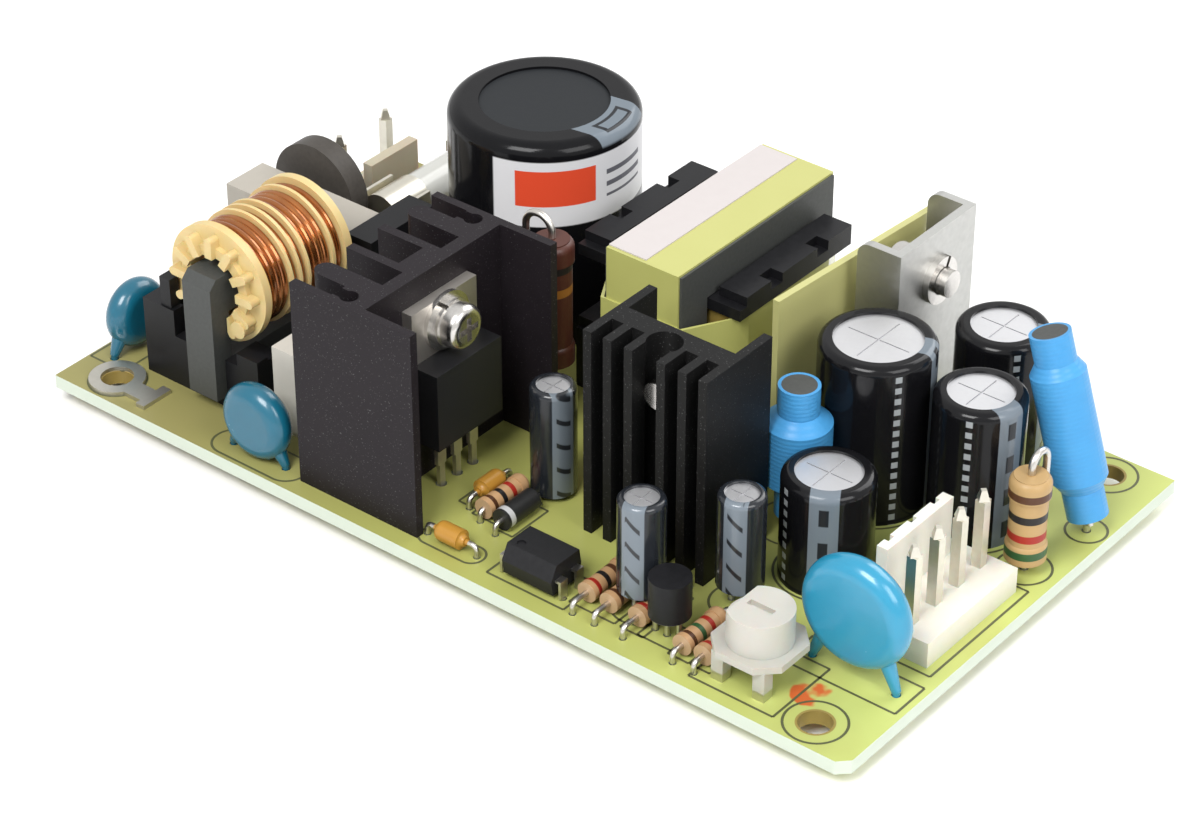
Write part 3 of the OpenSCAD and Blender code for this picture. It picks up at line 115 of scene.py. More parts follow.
def mesh_object(name, verts, faces):
    mesh = bpy.data.meshes.new(name)
    mesh.from_pydata([tuple(v) for v in verts], [], faces)
    mesh.validate()
    mesh.update()
    obj = bpy.data.objects.new(name, mesh)
    scene.collection.objects.link(obj)
    return obj


half = FLOOR_SIDE / 2
floor = mesh_object(
    "floor",
    [(-half, -half, 0), (half, -half, 0), (half, half, 0), (-half, half, 0)],
    [(0, 1, 2, 3)],
)
floor_paint = bpy.data.materials.new("floor_paint")
floor_paint.use_nodes = True
floor_shader = floor_paint.node_tree.nodes["Principled BSDF"]
floor_shader.inputs["Base Color"].default_value = FLOOR_SHADE
floor_shader.inputs["Roughness"].default_value = FLOOR_ROUGH
floor.data.materials.append(floor_paint)


# --- Finishes -------------------------------------------------------------------------------
# Every finish starts from the same mottle: two shades that cloud into each other, and a fine
# unevenness of the surface. Each piece sets its own colours, scale and gloss.
COLOR_A, COLOR_B, COLOR_OUT = 6, 7, 2  # sockets of a Mix node that mixes colours
FLOAT_A, FLOAT_B, FLOAT_OUT = 2, 3, 0  # sockets of a Mix node that mixes numbers
CLOUD_DETAIL, FINE_DETAIL = 3, 2
FINE_PER_CLOUD = 6
COAT_ROUGH = 0.08
SUBSURFACE_DEPTH = 1.0
TIN = (0.58, 0.56, 0.52)
TIN_ROUGH = 0.3


def build_mottle():
    """The node group behind every finish."""
    group = bpy.data.node_groups.new("mottle", "ShaderNodeTree")
    for way, name, kind in (("INPUT", "Shade", "Color"), ("INPUT", "Tint", "Color"),
                            ("INPUT", "Scale", "Float"), ("INPUT", "Amount", "Float"),
                            ("OUTPUT", "Color", "Color"), ("OUTPUT", "Mask", "Float"),
                            ("OUTPUT", "Height", "Float")):
        group.interface.new_socket(name, in_out=way, socket_type="NodeSocket" + kind)
    nodes, links = group.nodes, group.links
    source = nodes.new("NodeGroupInput")
    result = nodes.new("NodeGroupOutput")
    place = nodes.new("ShaderNodeTexCoord")
    cloud = nodes.new("ShaderNodeTexNoise")
    cloud.inputs["Detail"].default_value = CLOUD_DETAIL
    fine = nodes.new("ShaderNodeTexNoise")
    fine.inputs["Detail"].default_value = FINE_DETAIL
    finer = nodes.new("ShaderNodeMath")
    finer.operation = "MULTIPLY"
    finer.inputs[1].default_value = FINE_PER_CLOUD
    amount = nodes.new("ShaderNodeMath")
    amount.operation = "MULTIPLY"
    mix = nodes.new("ShaderNodeMix")
    mix.data_type = "RGBA"
    links.new(place.outputs["Object"], cloud.inputs["Vector"])
    links.new(place.outputs["Object"], fine.inputs["Vector"])
    links.new(source.outputs["Scale"], cloud.inputs["Scale"])
    links.new(source.outputs["Scale"], finer.inputs[0])
    links.new(finer.outputs[0], fine.inputs["Scale"])
    links.new(cloud.outputs["Fac"], amount.inputs[0])
    links.new(source.outputs["Amount"], amount.inputs[1])
    links.new(amount.outputs[0], mix.inputs[0])
    links.new(source.outputs["Shade"], mix.inputs[COLOR_A])
    links.new(source.outputs["Tint"], mix.inputs[COLOR_B])
    links.new(mix.outputs[COLOR_OUT], result.inputs["Color"])
    links.new(cloud.outputs["Fac"], result.inputs["Mask"])
    links.new(fine.outputs["Fac"], result.inputs["Height"])
    return group


MOTTLE = build_mottle()


class Finish:
    """A material with the mottle behind its colour, roughness and bump."""

    def __init__(self, name, shade, tint, scale=900, amount=0.6, rough=(0.4, 0.55), bump=0.15,
                 depth=0.03, metallic=0.0, coat=0.0, specular=0.5, transmission=0.0, subsurface=0.0):
        self.material = bpy.data.materials.new(name)
        self.material.use_nodes = True
        self.tree = self.material.node_tree
        self.shader = self.tree.nodes["Principled BSDF"]
        self.mottle = self.tree.nodes.new("ShaderNodeGroup")
        self.mottle.node_tree = MOTTLE
        self.mottle.inputs["Shade"].default_value = (*shade, 1)
        self.mottle.inputs["Tint"].default_value = (*tint, 1)
        self.mottle.inputs["Scale"].default_value = scale
        self.mottle.inputs["Amount"].default_value = amount
        self.color = self.mottle.outputs["Color"]
        self.bump = self.tree.nodes.new("ShaderNodeBump")
        self.bump.inputs["Strength"].default_value = bump
        self.bump.inputs["Distance"].default_value = depth * MM
        self.join(self.mottle.outputs["Height"], self.bump.inputs["Height"])
        self.join(self.bump.outputs["Normal"], self.shader.inputs["Normal"])
        self.gloss = self.tree.nodes.new("ShaderNodeMapRange")
        self.gloss.inputs["To Min"].default_value = rough[0]
        self.gloss.inputs["To Max"].default_value = rough[1]
        self.join(self.mottle.outputs["Mask"], self.gloss.inputs["Value"])
        self.roughness = self.gloss.outputs["Result"]
        self.shader.inputs["Metallic"].default_value = metallic
        self.shader.inputs["Coat Weight"].default_value = coat
        self.shader.inputs["Coat Roughness"].default_value = COAT_ROUGH
        self.shader.inputs["Specular IOR Level"].default_value = specular
        self.shader.inputs["Transmission Weight"].default_value = transmission
        self.shader.inputs["Subsurface Weight"].default_value = subsurface
        self.shader.inputs["Subsurface Scale"].default_value = SUBSURFACE_DEPTH * MM
        self.metal = None
        self.axes = None

    def join(self, a, b):
        self.tree.links.new(a, b)

    def axis(self, letter):
        """The surface's place along one of the object's own axes, in metres."""
        if self.axes is None:
            place = self.tree.nodes.new("ShaderNodeTexCoord")
            self.axes = self.tree.nodes.new("ShaderNodeSeparateXYZ")
            self.join(place.outputs["Object"], self.axes.inputs[0])
        return self.axes.outputs[letter]

    def normal(self, letter):
        """One component of the surface's direction in the object's own axes."""
        place = self.tree.nodes.new("ShaderNodeTexCoord")
        parts = self.tree.nodes.new("ShaderNodeSeparateXYZ")
        self.join(place.outputs["Normal"], parts.inputs[0])
        return parts.outputs[letter]

    def distance(self, x, y, z=None):
        """Distance in metres from a point in mm, or from an upright line where z is None."""
        place = self.tree.nodes.new("ShaderNodeTexCoord")
        node = self.tree.nodes.new("ShaderNodeVectorMath")
        node.operation = "DISTANCE"
        if z is None:
            flat = self.tree.nodes.new("ShaderNodeVectorMath")
            flat.operation = "MULTIPLY"
            flat.inputs[1].default_value = (1, 1, 0)
            self.join(place.outputs["Object"], flat.inputs[0])
            self.join(flat.outputs["Vector"], node.inputs[0])
            node.inputs[1].default_value = (x * MM, y * MM, 0)
        else:
            self.join(place.outputs["Object"], node.inputs[0])
            node.inputs[1].default_value = (x * MM, y * MM, z * MM)
        return node.outputs["Value"]

    def math(self, operation, a, b=0.0):
        node = self.tree.nodes.new("ShaderNodeMath")
        node.operation = operation
        for socket, value in zip(node.inputs, (a, b)):
            if isinstance(value, bpy.types.NodeSocket):
                self.join(value, socket)
            else:
                socket.default_value = value
        return node.outputs[0]

    def both(self, mask, *others):
        """1 only where every mask is 1."""
        for other in others:
            mask = self.math("MULTIPLY", mask, other)
        return mask

    def outside(self, mask):
        """1 where the mask is 0."""
        return self.math("SUBTRACT", 1.0, mask)

    def band(self, value, low, high, soft=0.02 * MM):
        """1 where value lies between low and high, with soft edges."""
        rise = self.tree.nodes.new("ShaderNodeMapRange")
        fall = self.tree.nodes.new("ShaderNodeMapRange")
        for node, edge in ((rise, low), (fall, high)):
            node.interpolation_type = "SMOOTHSTEP"
            node.inputs["From Min"].default_value = edge - soft
            node.inputs["From Max"].default_value = edge + soft
            self.join(value, node.inputs["Value"])
        return self.math("SUBTRACT", rise.outputs["Result"], fall.outputs["Result"])

    def between(self, letter, low, high, soft=0.02):
        """1 between two places along an axis, all in mm."""
        return self.band(self.axis(letter), low * MM, high * MM, soft * MM)

    def ramp(self, value, start, end):
        """Rises from 0 at start to 1 at end; start may be the larger."""
        node = self.tree.nodes.new("ShaderNodeMapRange")
        node.interpolation_type = "SMOOTHSTEP"
        node.inputs["From Min"].default_value = start
        node.inputs["From Max"].default_value = end
        self.join(value, node.inputs["Value"])
        return node.outputs["Result"]

    def near(self, outer, inner, *spot):
        """1 within inner of a point or an upright line, 0 beyond outer, all in mm."""
        return self.ramp(self.distance(*spot), outer * MM, inner * MM)

    def tint(self, mask, shade):
        """Lays a colour over the finish where the mask is 1."""
        mix = self.tree.nodes.new("ShaderNodeMix")
        mix.data_type = "RGBA"
        self.join(mask, mix.inputs[0])
        self.join(self.color, mix.inputs[COLOR_A])
        mix.inputs[COLOR_B].default_value = (*shade, 1)
        self.color = mix.outputs[COLOR_OUT]
        return self

    def set_rough(self, mask, value):
        """Gives the surface another roughness where the mask is 1."""
        mix = self.tree.nodes.new("ShaderNodeMix")
        self.join(mask, mix.inputs[0])
        self.join(self.roughness, mix.inputs[FLOAT_A])
        mix.inputs[FLOAT_B].default_value = value
        self.roughness = mix.outputs[FLOAT_OUT]
        return self

    def bare(self, mask):
        """Turns the surface into bright tin where the mask is 1."""
        self.tint(mask, TIN)
        self.set_rough(mask, TIN_ROUGH)
        self.metal = mask
        return self

    def ridges(self, height, depth):
        """Adds a second, coarser unevenness under the fine one."""
        node = self.tree.nodes.new("ShaderNodeBump")
        node.inputs["Strength"].default_value = 1.0
        node.inputs["Distance"].default_value = depth * MM
        self.join(height, node.inputs["Height"])
        self.join(node.outputs["Normal"], self.bump.inputs["Normal"])
        return self

    def on(self, *names):
        """Links the finish up and gives it to CAD nodes or pieces."""
        self.join(self.color, self.shader.inputs["Base Color"])
        self.join(self.roughness, self.shader.inputs["Roughness"])
        if self.metal is not None:
            self.join(self.metal, self.shader.inputs["Metallic"])
        for name in names:
            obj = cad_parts[name] if isinstance(name, str) else name
            obj.data.materials.clear()
            obj.data.materials.append(self.material)


# --- Circuit board --------------------------------------------------------------------------
# One sheet of glass laminate under a yellow-green mask, browner towards the input side, with
# bare rings around the fixing holes, pale cut edges and a smear of red marking ink.
HOLES = [(x, y) for x in (-46.96, 46.96) for y in (-26.17, 26.17)]
HOLE_RING_R = 2.0
SMEAR_AT = (44.2, -22.9)

board = Finish("board_mask", (0.27, 0.25, 0.085), (0.34, 0.30, 0.12), scale=60, amount=0.8,
               rough=(0.35, 0.45), bump=0.08, coat=0.1, specular=0.3)
middle = board.ramp(board.axis("X"), -40 * MM, 8 * MM)
output_side = board.ramp(board.axis("X"), 5 * MM, 50 * MM)
board.tint(middle, (0.385, 0.40, 0.11)).tint(output_side, (0.48, 0.53, 0.155))
flux_stain = board.ramp(board.mottle.outputs["Mask"], 0.52, 0.66)
board.tint(board.math("MULTIPLY", flux_stain, 0.22), (0.30, 0.26, 0.07))
cut_faces = board.ramp(board.math("ABSOLUTE", board.normal("Z")), 0.6, 0.4)
board.tint(cut_faces, (0.56, 0.62, 0.52))
for x, y in HOLES:
    ring = board.band(board.distance(x, y), -1 * MM, HOLE_RING_R * MM)
    board.tint(ring, (0.30, 0.22, 0.06))
smear = board.both(board.near(3.6, 1.2, *SMEAR_AT), board.mottle.outputs["Height"])
board.tint(board.ramp(smear, 0.34, 0.46), (0.56, 0.12, 0.03))
board.on("circuit_board")


# --- Printed outlines -----------------------------------------------------------------------
# Thin dark lines on the board's upper face show where each part stands. They are flat
# ribbons of ink, laid just over the mask.
LINE_W = 0.28
INK_RISE = 0.02
HOLE_OUTLINE_R = 3.2
BOX_OUTLINES = (
    (-52.3, 10.2, -43.6, 23.8), (-36.6, -21.7, -18.6, -4.9), (-52.7, -24.6, -47.7, -14.6),
    (16.6, -26.2, 19.6, -18), (19.6, -26.2, 22.4, -18), (23.1, -26.2, 26, -18),
    (29.4, -26.6, 32, -19), (32.2, -26.6, 34.6, -19), (7, -27.6, 17, -22.2),
    (33.1, -28.1, 43.3, -18.7), (38.9, -20.4, 52.2, -15.4), (-0.7, -20.8, 2.5, -14.4),
    (2.6, -21.4, 5.2, -15.6), (-3.2, -20, 0.1, -13.7), (41.4, -13.6, 51.6, 3.9),
    (25.2, -26.1, 29.9, -22.4),
)
ROUND_OUTLINES = (
    (22.7, -22.3, 3.1), (29.95, -15.6, 3.1), (33.6, -6.05, 5.3), (40.5, 10.3, 5.5),
    (29.2, 8.2, 6.7), (35.5, 22, 5.5), (26.3, -1.3, 4.1), (49, 7, 2.9), (50.5, 16.4, 2.2),
)
OBLONG_OUTLINES = ((-25, -26.9, 3.9, 2.3), (1.3, -26.3, 2.6, 1.5), (-46.3, 6.7, 4.2, 2.6))
legend_verts, legend_faces = [], []


def ribbon(points, closed=True):
    """Adds a flat line of ink through the points, closed on itself or open."""
    count = len(points)
    start = len(legend_verts)
    for i, point in enumerate(points):
        before = Vector(points[i - 1]) if closed or i else Vector(point)
        after = Vector(points[(i + 1) % count]) if closed or i < count - 1 else Vector(point)
        along = (after - before).normalized()
        side = Vector((-along.y, along.x)) * LINE_W / 2
        for sign in (1, -1):
            spot = (Vector(point) + side * sign) * MM
            legend_verts.append((spot.x, spot.y, deck_z + INK_RISE * MM))
    for i in range(count if closed else count - 1):
        a, b = start + 2 * i, start + 2 * ((i + 1) % count)
        legend_faces.append((a, a + 1, b + 1, b))


def printed_box(x0, y0, x1, y1):
    corners = ((x0, y0), (x1, y0), (x1, y1), (x0, y1))
    for i, corner in enumerate(corners):
        ribbon([corner, corners[(i + 1) % 4]], closed=False)


def printed_circle(x, y, radius, steps=48):
    turns = [a * math.tau / steps for a in range(steps)]
    ribbon([(x + radius * math.cos(a), y + radius * math.sin(a)) for a in turns])


def printed_oblong(x, y, half_length, radius, steps=40):
    """A circle drawn out along X by half_length to each side."""
    turns = [(k + 0.5) * math.tau / steps for k in range(steps)]
    ribbon([(x + math.copysign(half_length, math.cos(a)) + radius * math.cos(a),
             y + radius * math.sin(a)) for a in turns])


for box in BOX_OUTLINES:
    printed_box(*box)
for circle in ROUND_OUTLINES:
    printed_circle(*circle)
for hole in HOLES:
    printed_circle(*hole, HOLE_OUTLINE_R)
for oblong in OBLONG_OUTLINES:
    printed_oblong(*oblong)
legend = mesh_object("board_outlines", legend_verts, legend_faces)
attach(legend, "board")
Finish("legend_ink", (0.075, 0.08, 0.03), (0.11, 0.11, 0.05), rough=(0.5, 0.6)).on(legend)


# --- Solder, pins and plated steel ----------------------------------------------------------
# Bright tin on the joints under the board, on the header pins and on the fuse's clips.
# The bracket, the screws and the metal backs of the power devices are plated too.
def tinned(name, shade=TIN, rough=(0.25, 0.4), bump=0.1):
    return Finish(name, shade, tuple(c * 0.82 for c in shade), scale=1500, amount=0.8, rough=rough,
                  bump=bump, metallic=1.0)


tinned("solder").on("solder_joints")
tinned("tin_plate", (0.70, 0.67, 0.58)).on(
    "header_pins", "fuse_end_caps", "fuse_clips", "heatsink_pins")
tinned("terminal_tin", (0.56, 0.54, 0.48), rough=(0.35, 0.5)).on("earth_terminal")
tinned("bracket_steel", (0.52, 0.52, 0.50), rough=(0.35, 0.5), bump=0.05).on("bracket")
tinned("device_copper", (0.66, 0.62, 0.57), rough=(0.38, 0.5)).on(
    "transistor_frame", "rectifier_frame", "bracket_diode_frame")
tinned("screw_steel", (0.66, 0.64, 0.61), rough=(0.18, 0.3), bump=0.05).on(
    "mounting_screws", "flat_washers", "spring_washers")


# --- Connectors -----------------------------------------------------------------------------
# Ivory nylon headers, each moulded in one piece with the wall that latches the plug. The
# input one has yellowed more.
Finish("input_nylon", (0.52, 0.46, 0.34), (0.46, 0.40, 0.29), rough=(0.4, 0.5),
       subsurface=0.2).on("input_header")
Finish("output_nylon", (0.78, 0.75, 0.67), (0.72, 0.69, 0.60), rough=(0.35, 0.45),
       subsurface=0.25).on("output_header")


# --- Fuse and film capacitors ---------------------------------------------------------------
# A ceramic tube between plated caps, and two box capacitors in pale moulded cases. Metal
# shows at the foot of each case, where its leads go into the board.
def legs_below(finish, height, soft=0.03):
    """Bright tin up to a height in mm above the board, for a part that stands on its leads."""
    high, low = deck_z + (height + soft) * MM, deck_z + (height - soft) * MM
    return finish.bare(finish.ramp(finish.axis("Z"), high, low))


Finish("fuse_ceramic", (0.62, 0.62, 0.58), (0.55, 0.55, 0.50), rough=(0.15, 0.25),
       coat=0.3).on("fuse_tube")
for name, shade, node in (("film_case_rear", (0.42, 0.39, 0.34), "suppression_capacitor_rear"),
                          ("film_case_front", (0.60, 0.57, 0.51), "suppression_capacitor_front")):
    case = Finish(name, shade, tuple(c * 0.9 for c in shade), rough=(0.4, 0.5), specular=0.3)
    legs_below(case, height=0.4, soft=0.02).on(node)


# --- Black moulded parts --------------------------------------------------------------------
# Epoxy and phenolic mouldings, a little grey where light rakes them, on tinned legs.
OPTO_BODY_X = (8.75, 15.25)
OPTO_LEGS_H = (0.4, 0.5)


def black_moulding(name, shade=(0.006, 0.006, 0.007), rough=(0.35, 0.5), specular=0.2, **extra):
    return Finish(name, shade, tuple(c * 2 + 0.002 for c in shade), scale=1800, amount=0.7,
                  rough=rough, specular=specular, **extra)


thermistor = black_moulding("thermistor_lacquer", (0.045, 0.04, 0.035), rough=(0.4, 0.55))
legs_below(thermistor, height=0.7).on("thermistor")
black_moulding("choke_carrier").on("choke_base")
legs_below(black_moulding("bridge_epoxy"), height=3.6).on("bridge_rectifier")
black_moulding("device_epoxy", (0.009, 0.009, 0.01), specular=0.3).on(
    "transistor_body", "rectifier_body", "bracket_diode_body")
black_moulding("bobbin_phenolic", rough=(0.25, 0.4)).on("transformer_bobbin")
opto = black_moulding("optocoupler_epoxy", (0.01, 0.01, 0.011))
above_legs = opto.ramp(opto.axis("Z"), *(deck_z + height * MM for height in OPTO_LEGS_H))
opto_body = opto.both(opto.between("X", *OPTO_BODY_X), above_legs)
opto.bare(opto.outside(opto_body)).on("optocoupler")
legs_below(black_moulding("regulator_epoxy"), height=2.5).on("regulator")


# --- Line choke -----------------------------------------------------------------------------
# Enamelled copper on a cream bobbin round a closed ferrite core. The bobbin is more orange
# near its front end.
FERRITE = ((0.06, 0.063, 0.06), (0.038, 0.04, 0.038))
FERRITE_FEEL = {"scale": 2500, "rough": (0.45, 0.6), "bump": 0.3, "specular": 0.35}
ORANGE_Y = (-19.5, -17.9)

Finish("ferrite", *FERRITE, **FERRITE_FEEL).on("choke_core", "transformer_core")
cream = Finish("cream_nylon", (0.66, 0.52, 0.25), (0.58, 0.42, 0.16), scale=300, rough=(0.35, 0.5),
               subsurface=0.2)
cream.tint(cream.between("Y", *ORANGE_Y, soft=0.5), (0.74, 0.42, 0.08))
cream.on("choke_bobbin")
Finish("copper", (0.56, 0.22, 0.06), (0.22, 0.06, 0.015), scale=260, amount=1.2, rough=(0.2, 0.32),
       metallic=0.9, coat=0.5).on("choke_windings")


# --- Disc capacitors ------------------------------------------------------------------------
# Ceramic discs dipped in blue lacquer that runs down the legs.
Finish("blue_lacquer", (0.006, 0.105, 0.17), (0.008, 0.135, 0.21), scale=400, rough=(0.2, 0.3),
       coat=0.25, bump=0.2).on("disc_capacitor_earth", "disc_capacitor_line")
Finish("blue_lacquer_pale", (0.018, 0.24, 0.40), (0.03, 0.30, 0.47), scale=400, rough=(0.2, 0.3),
       coat=0.3, bump=0.2).on("disc_capacitor_output")


# --- Electrolytic capacitors ----------------------------------------------------------------
# Aluminium cans in shrink sleeves, with scored vents in their bare ends. Each sleeve has a
# grey polarity stripe with dark dashes or chevrons. The largest has a plain pale label too.
STRIPE = (0.16, 0.19, 0.22)
INK = (0.02, 0.022, 0.026)
SLEEVE = ((0.005, 0.005, 0.006), (0.008, 0.008, 0.009))
BULK_AT = (-21.4, 16.5)
BULK_LABEL = (-16, 9.8, 18.9, 26.9)  # azimuth, half width, foot and head of a panel
BULK_RED_PATCH = (-44, 4.4, 21.4, 25.8)
BULK_MARKS = (4, 3, 21.4, 25.6)
BULK_SHOULDER = (24, 24.4)
BULK_STRIPE_AZ = 8
BULK_STRIPE_HALF_W = 4.2
BULK_FRAME = ((2.6, 7.9, 9.9, INK), (2.1, 8.3, 9.5, STRIPE))  # half width, inner, outer radius
OUTPUT_CANS = (  # place, radius of the can, azimuth of its stripe
    (29.2, 8.2, 6.2, 20), (35.5, 22, 5, 15), (40.5, 10.3, 4.87, -15), (33.6, -6.05, 4.87, -60),
)
PRINT_TURN = 55
SMALL_CANS = ((22.7, -22.3, -75), (29.95, -15.6, -70), (3.3, -12.3, -25))
CHEVRON_PITCH = 3


def facing(finish, x, y, azimuth, half_width):
    """1 on the strip of an upright cylinder that looks along an azimuth."""
    turn = math.radians(azimuth)
    east = finish.math("SUBTRACT", finish.axis("X"), x * MM)
    north = finish.math("SUBTRACT", finish.axis("Y"), y * MM)
    along = finish.math("ADD", finish.math("MULTIPLY", east, math.cos(turn)),
                        finish.math("MULTIPLY", north, math.sin(turn)))
    across = finish.math("SUBTRACT", finish.math("MULTIPLY", north, math.cos(turn)),
                         finish.math("MULTIPLY", east, math.sin(turn)))
    strip = finish.band(across, -half_width * MM, half_width * MM, 0.05 * MM)
    return finish.both(strip, finish.ramp(along, 0.2 * MM, 0.6 * MM))


def dashes(finish, period, share):
    """1 in dashes up the part, each a share of its period."""
    place = finish.math("FRACT", finish.math("DIVIDE", finish.axis("Z"), period * MM))
    return finish.band(place, 0.1, 0.1 + share, 0.02)


def panel(azimuth, half_width, foot, head, soft=0.02):
    """1 on a part of the largest sleeve, between two heights."""
    return bulk.both(facing(bulk, *BULK_AT, azimuth, half_width), bulk.between("Z", foot, head, soft))


Finish("can_aluminium", (0.62, 0.62, 0.63), (0.54, 0.54, 0.56), scale=1500, rough=(0.35, 0.5),
       metallic=0.85).on("output_capacitor_cans", "small_capacitor_cans")
Finish("bulk_end", (0.016, 0.018, 0.02), (0.024, 0.026, 0.029), scale=1200, rough=(0.45, 0.6),
       specular=0.14).on("bulk_capacitor_can")

bulk = Finish("bulk_sleeve", *SLEEVE, scale=600, rough=(0.12, 0.2), coat=0.06, bump=0.1,
              specular=0.12)
label = panel(*BULK_LABEL, soft=0.1)
bulk.tint(label, (0.70, 0.70, 0.72))
bulk.tint(panel(*BULK_RED_PATCH), (0.72, 0.075, 0.03))
bulk.tint(bulk.both(panel(*BULK_MARKS), dashes(bulk, 1.5, 0.4)), (0.12, 0.12, 0.14))
bulk.set_rough(label, 0.45)
shoulder = bulk.ramp(bulk.axis("Z"), *(deck_z + height * MM for height in BULK_SHOULDER))
stripe = facing(bulk, *BULK_AT, BULK_STRIPE_AZ, BULK_STRIPE_HALF_W)
bulk.tint(bulk.both(stripe, shoulder), STRIPE)
for half_width, inner, outer, shade in BULK_FRAME:
    ring = bulk.band(bulk.distance(*BULK_AT), inner * MM, outer * MM)
    strip = facing(bulk, *BULK_AT, BULK_STRIPE_AZ, half_width)
    bulk.tint(bulk.both(strip, ring, shoulder), shade)
bulk.on("bulk_capacitor_sleeve")

sleeves = Finish("black_sleeve", *SLEEVE, scale=600, rough=(0.12, 0.2), coat=0.12, bump=0.1,
                 specular=0.16)
for x, y, radius, azimuth in OUTPUT_CANS:
    near = sleeves.near(6.6, 6.4, x, y)
    sleeves.tint(sleeves.both(facing(sleeves, x, y, azimuth, 1.5), near), STRIPE)
    strip = facing(sleeves, x, y, azimuth, 0.5)
    sleeves.tint(sleeves.both(strip, near, dashes(sleeves, 4, 0.5)), INK)
    wall = sleeves.band(sleeves.distance(x, y), (radius - 0.06) * MM, (radius + 0.2) * MM)
    strip = facing(sleeves, x, y, azimuth - PRINT_TURN, 0.35)
    sleeves.tint(sleeves.both(strip, wall, dashes(sleeves, 1.3, 0.55)), (0.30, 0.32, 0.33))
sleeves.on("output_capacitor_sleeves")

grey = Finish("grey_sleeve", (0.012, 0.014, 0.018), (0.02, 0.023, 0.028), scale=600,
              rough=(0.15, 0.25), coat=0.3, specular=0.3)
for x, y, azimuth in SMALL_CANS:
    near = grey.near(3, 2.8, x, y)
    grey.tint(grey.both(facing(grey, x, y, azimuth, 1.2), near), STRIPE)
    slope = grey.math("ABSOLUTE", grey.math("SUBTRACT", grey.axis("X"), x * MM))
    slant = grey.math("ADD", grey.axis("Z"), slope)
    place = grey.math("FRACT", grey.math("DIVIDE", slant, CHEVRON_PITCH * MM))
    chevron = grey.band(place, 0.1, 0.3, 0.03)
    grey.tint(grey.both(facing(grey, x, y, azimuth, 0.8), near, chevron), INK)
grey.on("small_capacitor_sleeves")


# --- Heatsinks ------------------------------------------------------------------------------
# Extruded aluminium, black anodised, with a few specks of dust.
DUST_SHARE = 0.5

for name, shade, node in (("main_anodise", (0.012, 0.0095, 0.0115), "main_heatsink"),
                          ("output_anodise", (0.007, 0.007, 0.007), "output_heatsink")):
    anodise = Finish(name, shade, tuple(c * 1.7 for c in shade), scale=900, rough=(0.4, 0.55),
                     bump=0.1, metallic=0.1, specular=0.14)
    dust = anodise.ramp(anodise.mottle.outputs["Height"], 0.66, 0.72)
    anodise.tint(anodise.math("MULTIPLY", dust, DUST_SHARE), (0.16, 0.16, 0.16)).on(node)


# --- Transformer ----------------------------------------------------------------------------
# A ferrite core taped round in yellow, on a black bobbin, with a blank paper label. The
# insulation barrier is a yellowish, translucent film.
Finish("yellow_tape", (0.48, 0.48, 0.155), (0.42, 0.42, 0.12), scale=200, rough=(0.2, 0.3),
       coat=0.3).on("transformer_tape")
Finish("winding_varnish", (0.34, 0.25, 0.06), (0.26, 0.16, 0.04), scale=300, rough=(0.25, 0.4),
       coat=0.3).on("transformer_winding")
Finish("label_paper", (0.56, 0.52, 0.51), (0.52, 0.48, 0.47), rough=(0.5, 0.6),
       specular=0.2).on("transformer_label")
Finish("barrier_film", (0.66, 0.64, 0.27), (0.60, 0.58, 0.24), scale=100, rough=(0.3, 0.4),
       transmission=0.25).on("insulation_barrier")


# --- Rod chokes -----------------------------------------------------------------------------
# Shrink tube over the winding and necks of each ferrite rod, drawn in between the turns of
# wire under it. The outer rod leans.
LEAN = math.radians(17.5)
OUTER_ROD_X = (37, 38)
TURN_PITCH = 0.5
TURN_DEPTH = 0.008

legs_below(Finish("rod_ferrite", *FERRITE, **FERRITE_FEEL), height=1.4).on("rod_choke_cores")
shrink = Finish("blue_shrink", (0.055, 0.27, 0.56), (0.07, 0.33, 0.62), scale=400,
                rough=(0.3, 0.42), bump=0.2, specular=0.3)
outer = shrink.ramp(shrink.axis("X"), *(x * MM for x in OUTER_ROD_X))
shift = shrink.both(shrink.axis("X"), math.tan(LEAN), outer)
level = shrink.math("SUBTRACT", shrink.axis("Z"), shift)
turns = shrink.math("SINE", shrink.math("MULTIPLY", level, math.tau / (TURN_PITCH * MM)))
shrink.ridges(turns, TURN_DEPTH).on("rod_choke_sleeves")


# --- Resistors, ceramics and diode ----------------------------------------------------------
# Lacquered bodies with colour bands, on tinned wires.
BROWN, BLACK, RED = (0.08, 0.03, 0.012), (0.012, 0.01, 0.01), (0.33, 0.02, 0.012)
GREEN, ORANGE = (0.03, 0.09, 0.03), (0.3, 0.12, 0.02)
FILM_RESISTORS = (
    (18.1, -22.1, (RED, BLACK, BROWN)), (20.9, -22.1, (BROWN, BLACK, RED)),
    (24.5, -22.1, (RED, RED, BROWN)), (30.7, -22.9, (BROWN, GREEN, RED)),
    (33.3, -22.9, (RED, BROWN, BLACK)), (0.9, -17.7, (BROWN, BLACK, RED)),
)
BAND_PLACES = (-2.2, -0.7, 0.8)
BAND_HALF_W = 0.3
FILM_HALF_W = 1.25
FILM_HALF_L = 3.16
CERAMICS_AT = ((-1.5, -17), (1.3, -26.3))
CERAMIC_H = 1.3
DIODE_BODY_Y = (-21.22, -16.18)
DIODE_BAND_Y = (-20.9, -20.2)


def upright(name, shade, node, x, y, radius, low, high, bands):
    """A resistor on end: its body from low to high above the board, its bands above the sole."""
    finish = Finish(name, shade, tuple(c * 0.85 for c in shade), scale=800, rough=(0.35, 0.45),
                    specular=0.35)
    for height, width, ink in bands:
        foot, head = sole_z + (height - width / 2) * MM, sole_z + (height + width / 2) * MM
        finish.tint(finish.band(finish.axis("Z"), foot, head), ink)
    foot, head = deck_z + (low - 0.1) * MM, deck_z + (high + 0.1) * MM
    body = finish.both(finish.near(radius + 0.05, radius, x, y),
                       finish.band(finish.axis("Z"), foot, head))
    finish.bare(finish.outside(body)).on(node)


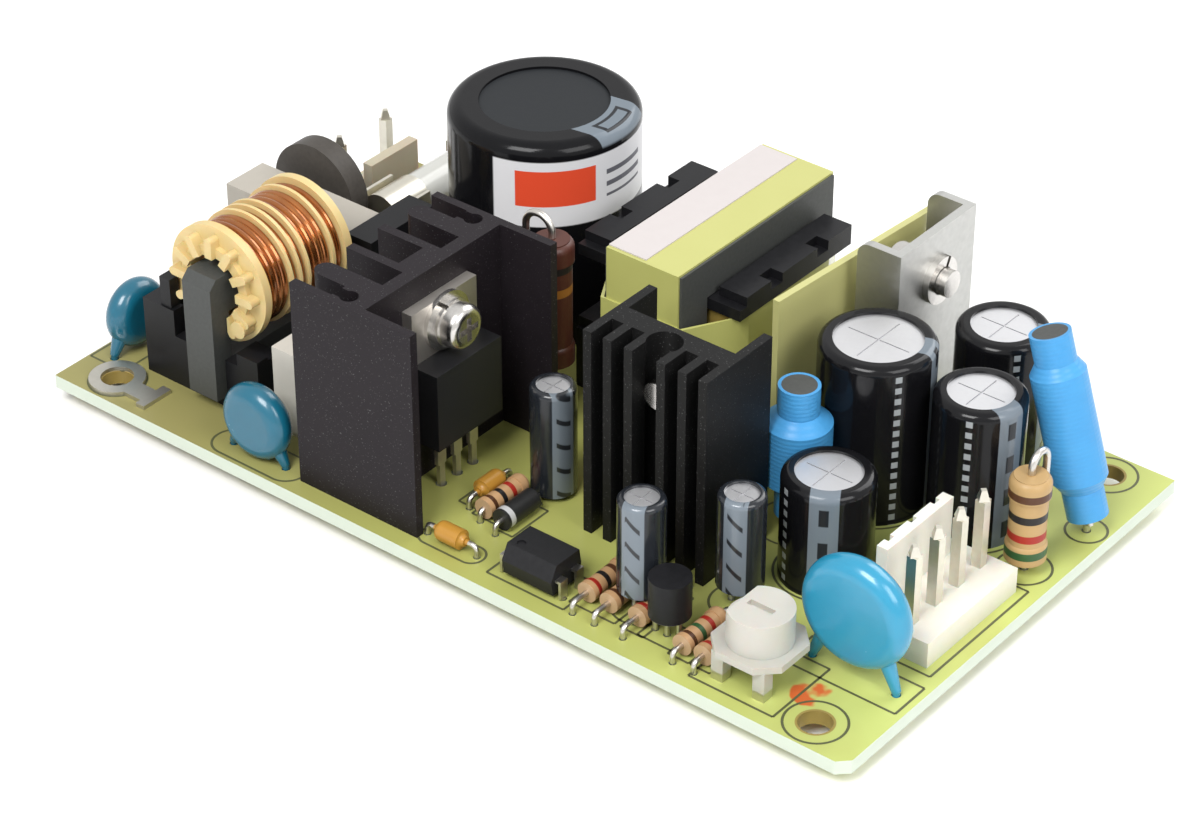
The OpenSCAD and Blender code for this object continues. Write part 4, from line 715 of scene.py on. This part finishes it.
upright("bleed_lacquer", (0.46, 0.30, 0.13), "bleed_resistor", x=49, y=7, radius=2.3, low=1.6,
        high=11.6, bands=((11.4, 0.9, BROWN), (8.7, 0.9, BLACK), (6.4, 0.9, RED), (4.4, 0.9, GREEN)))
upright("snubber_lacquer", (0.075, 0.022, 0.014), "snubber_resistor", x=-5.9, y=-1.2, radius=2.5,
        low=7, high=22, bands=((20.6, 1, BLACK), (17.8, 1, ORANGE)))

films = Finish("film_lacquer", (0.50, 0.30, 0.15), (0.43, 0.25, 0.12), scale=800,
               rough=(0.35, 0.45), specular=0.35)
film_bodies = 0.0
for x, y, inks in FILM_RESISTORS:
    column = films.between("X", x - FILM_HALF_W, x + FILM_HALF_W)
    for place, ink in zip(BAND_PLACES, inks):
        band = films.between("Y", y + place - BAND_HALF_W, y + place + BAND_HALF_W)
        films.tint(films.both(column, band), ink)
    body = films.both(column, films.between("Y", y - FILM_HALF_L, y + FILM_HALF_L))
    film_bodies = films.math("ADD", film_bodies, body)
films.bare(films.outside(film_bodies)).on("film_resistors")

ceramics = Finish("ceramic_lacquer", (0.44, 0.22, 0.03), (0.38, 0.18, 0.025), scale=600,
                  rough=(0.3, 0.4))
beads = [ceramics.near(2.35, 2.25, x, y, deck_z / MM + CERAMIC_H) for x, y in CERAMICS_AT]
ceramics.bare(ceramics.outside(ceramics.math("ADD", *beads))).on("ceramic_capacitors")

diode = black_moulding("diode_epoxy", (0.012, 0.012, 0.012), specular=0.35)
diode.tint(diode.between("Y", *DIODE_BAND_Y), (0.5, 0.5, 0.5))
diode.bare(diode.outside(diode.between("Y", *DIODE_BODY_Y))).on("diode")


# --- Trimmer --------------------------------------------------------------------------------
# Clear nylon gone a little cloudy, on three tinned legs.
trimmer = Finish("clear_nylon", (0.62, 0.60, 0.54), (0.55, 0.53, 0.47), rough=(0.3, 0.4),
                 transmission=0.25, subsurface=0.2)
legs_below(trimmer, height=1.0).on("trimmer_base")
Finish("rotor_nylon", (0.66, 0.64, 0.58), (0.6, 0.58, 0.52), rough=(0.3, 0.4),
       transmission=0.25, subsurface=0.2).on("trimmer_rotor")
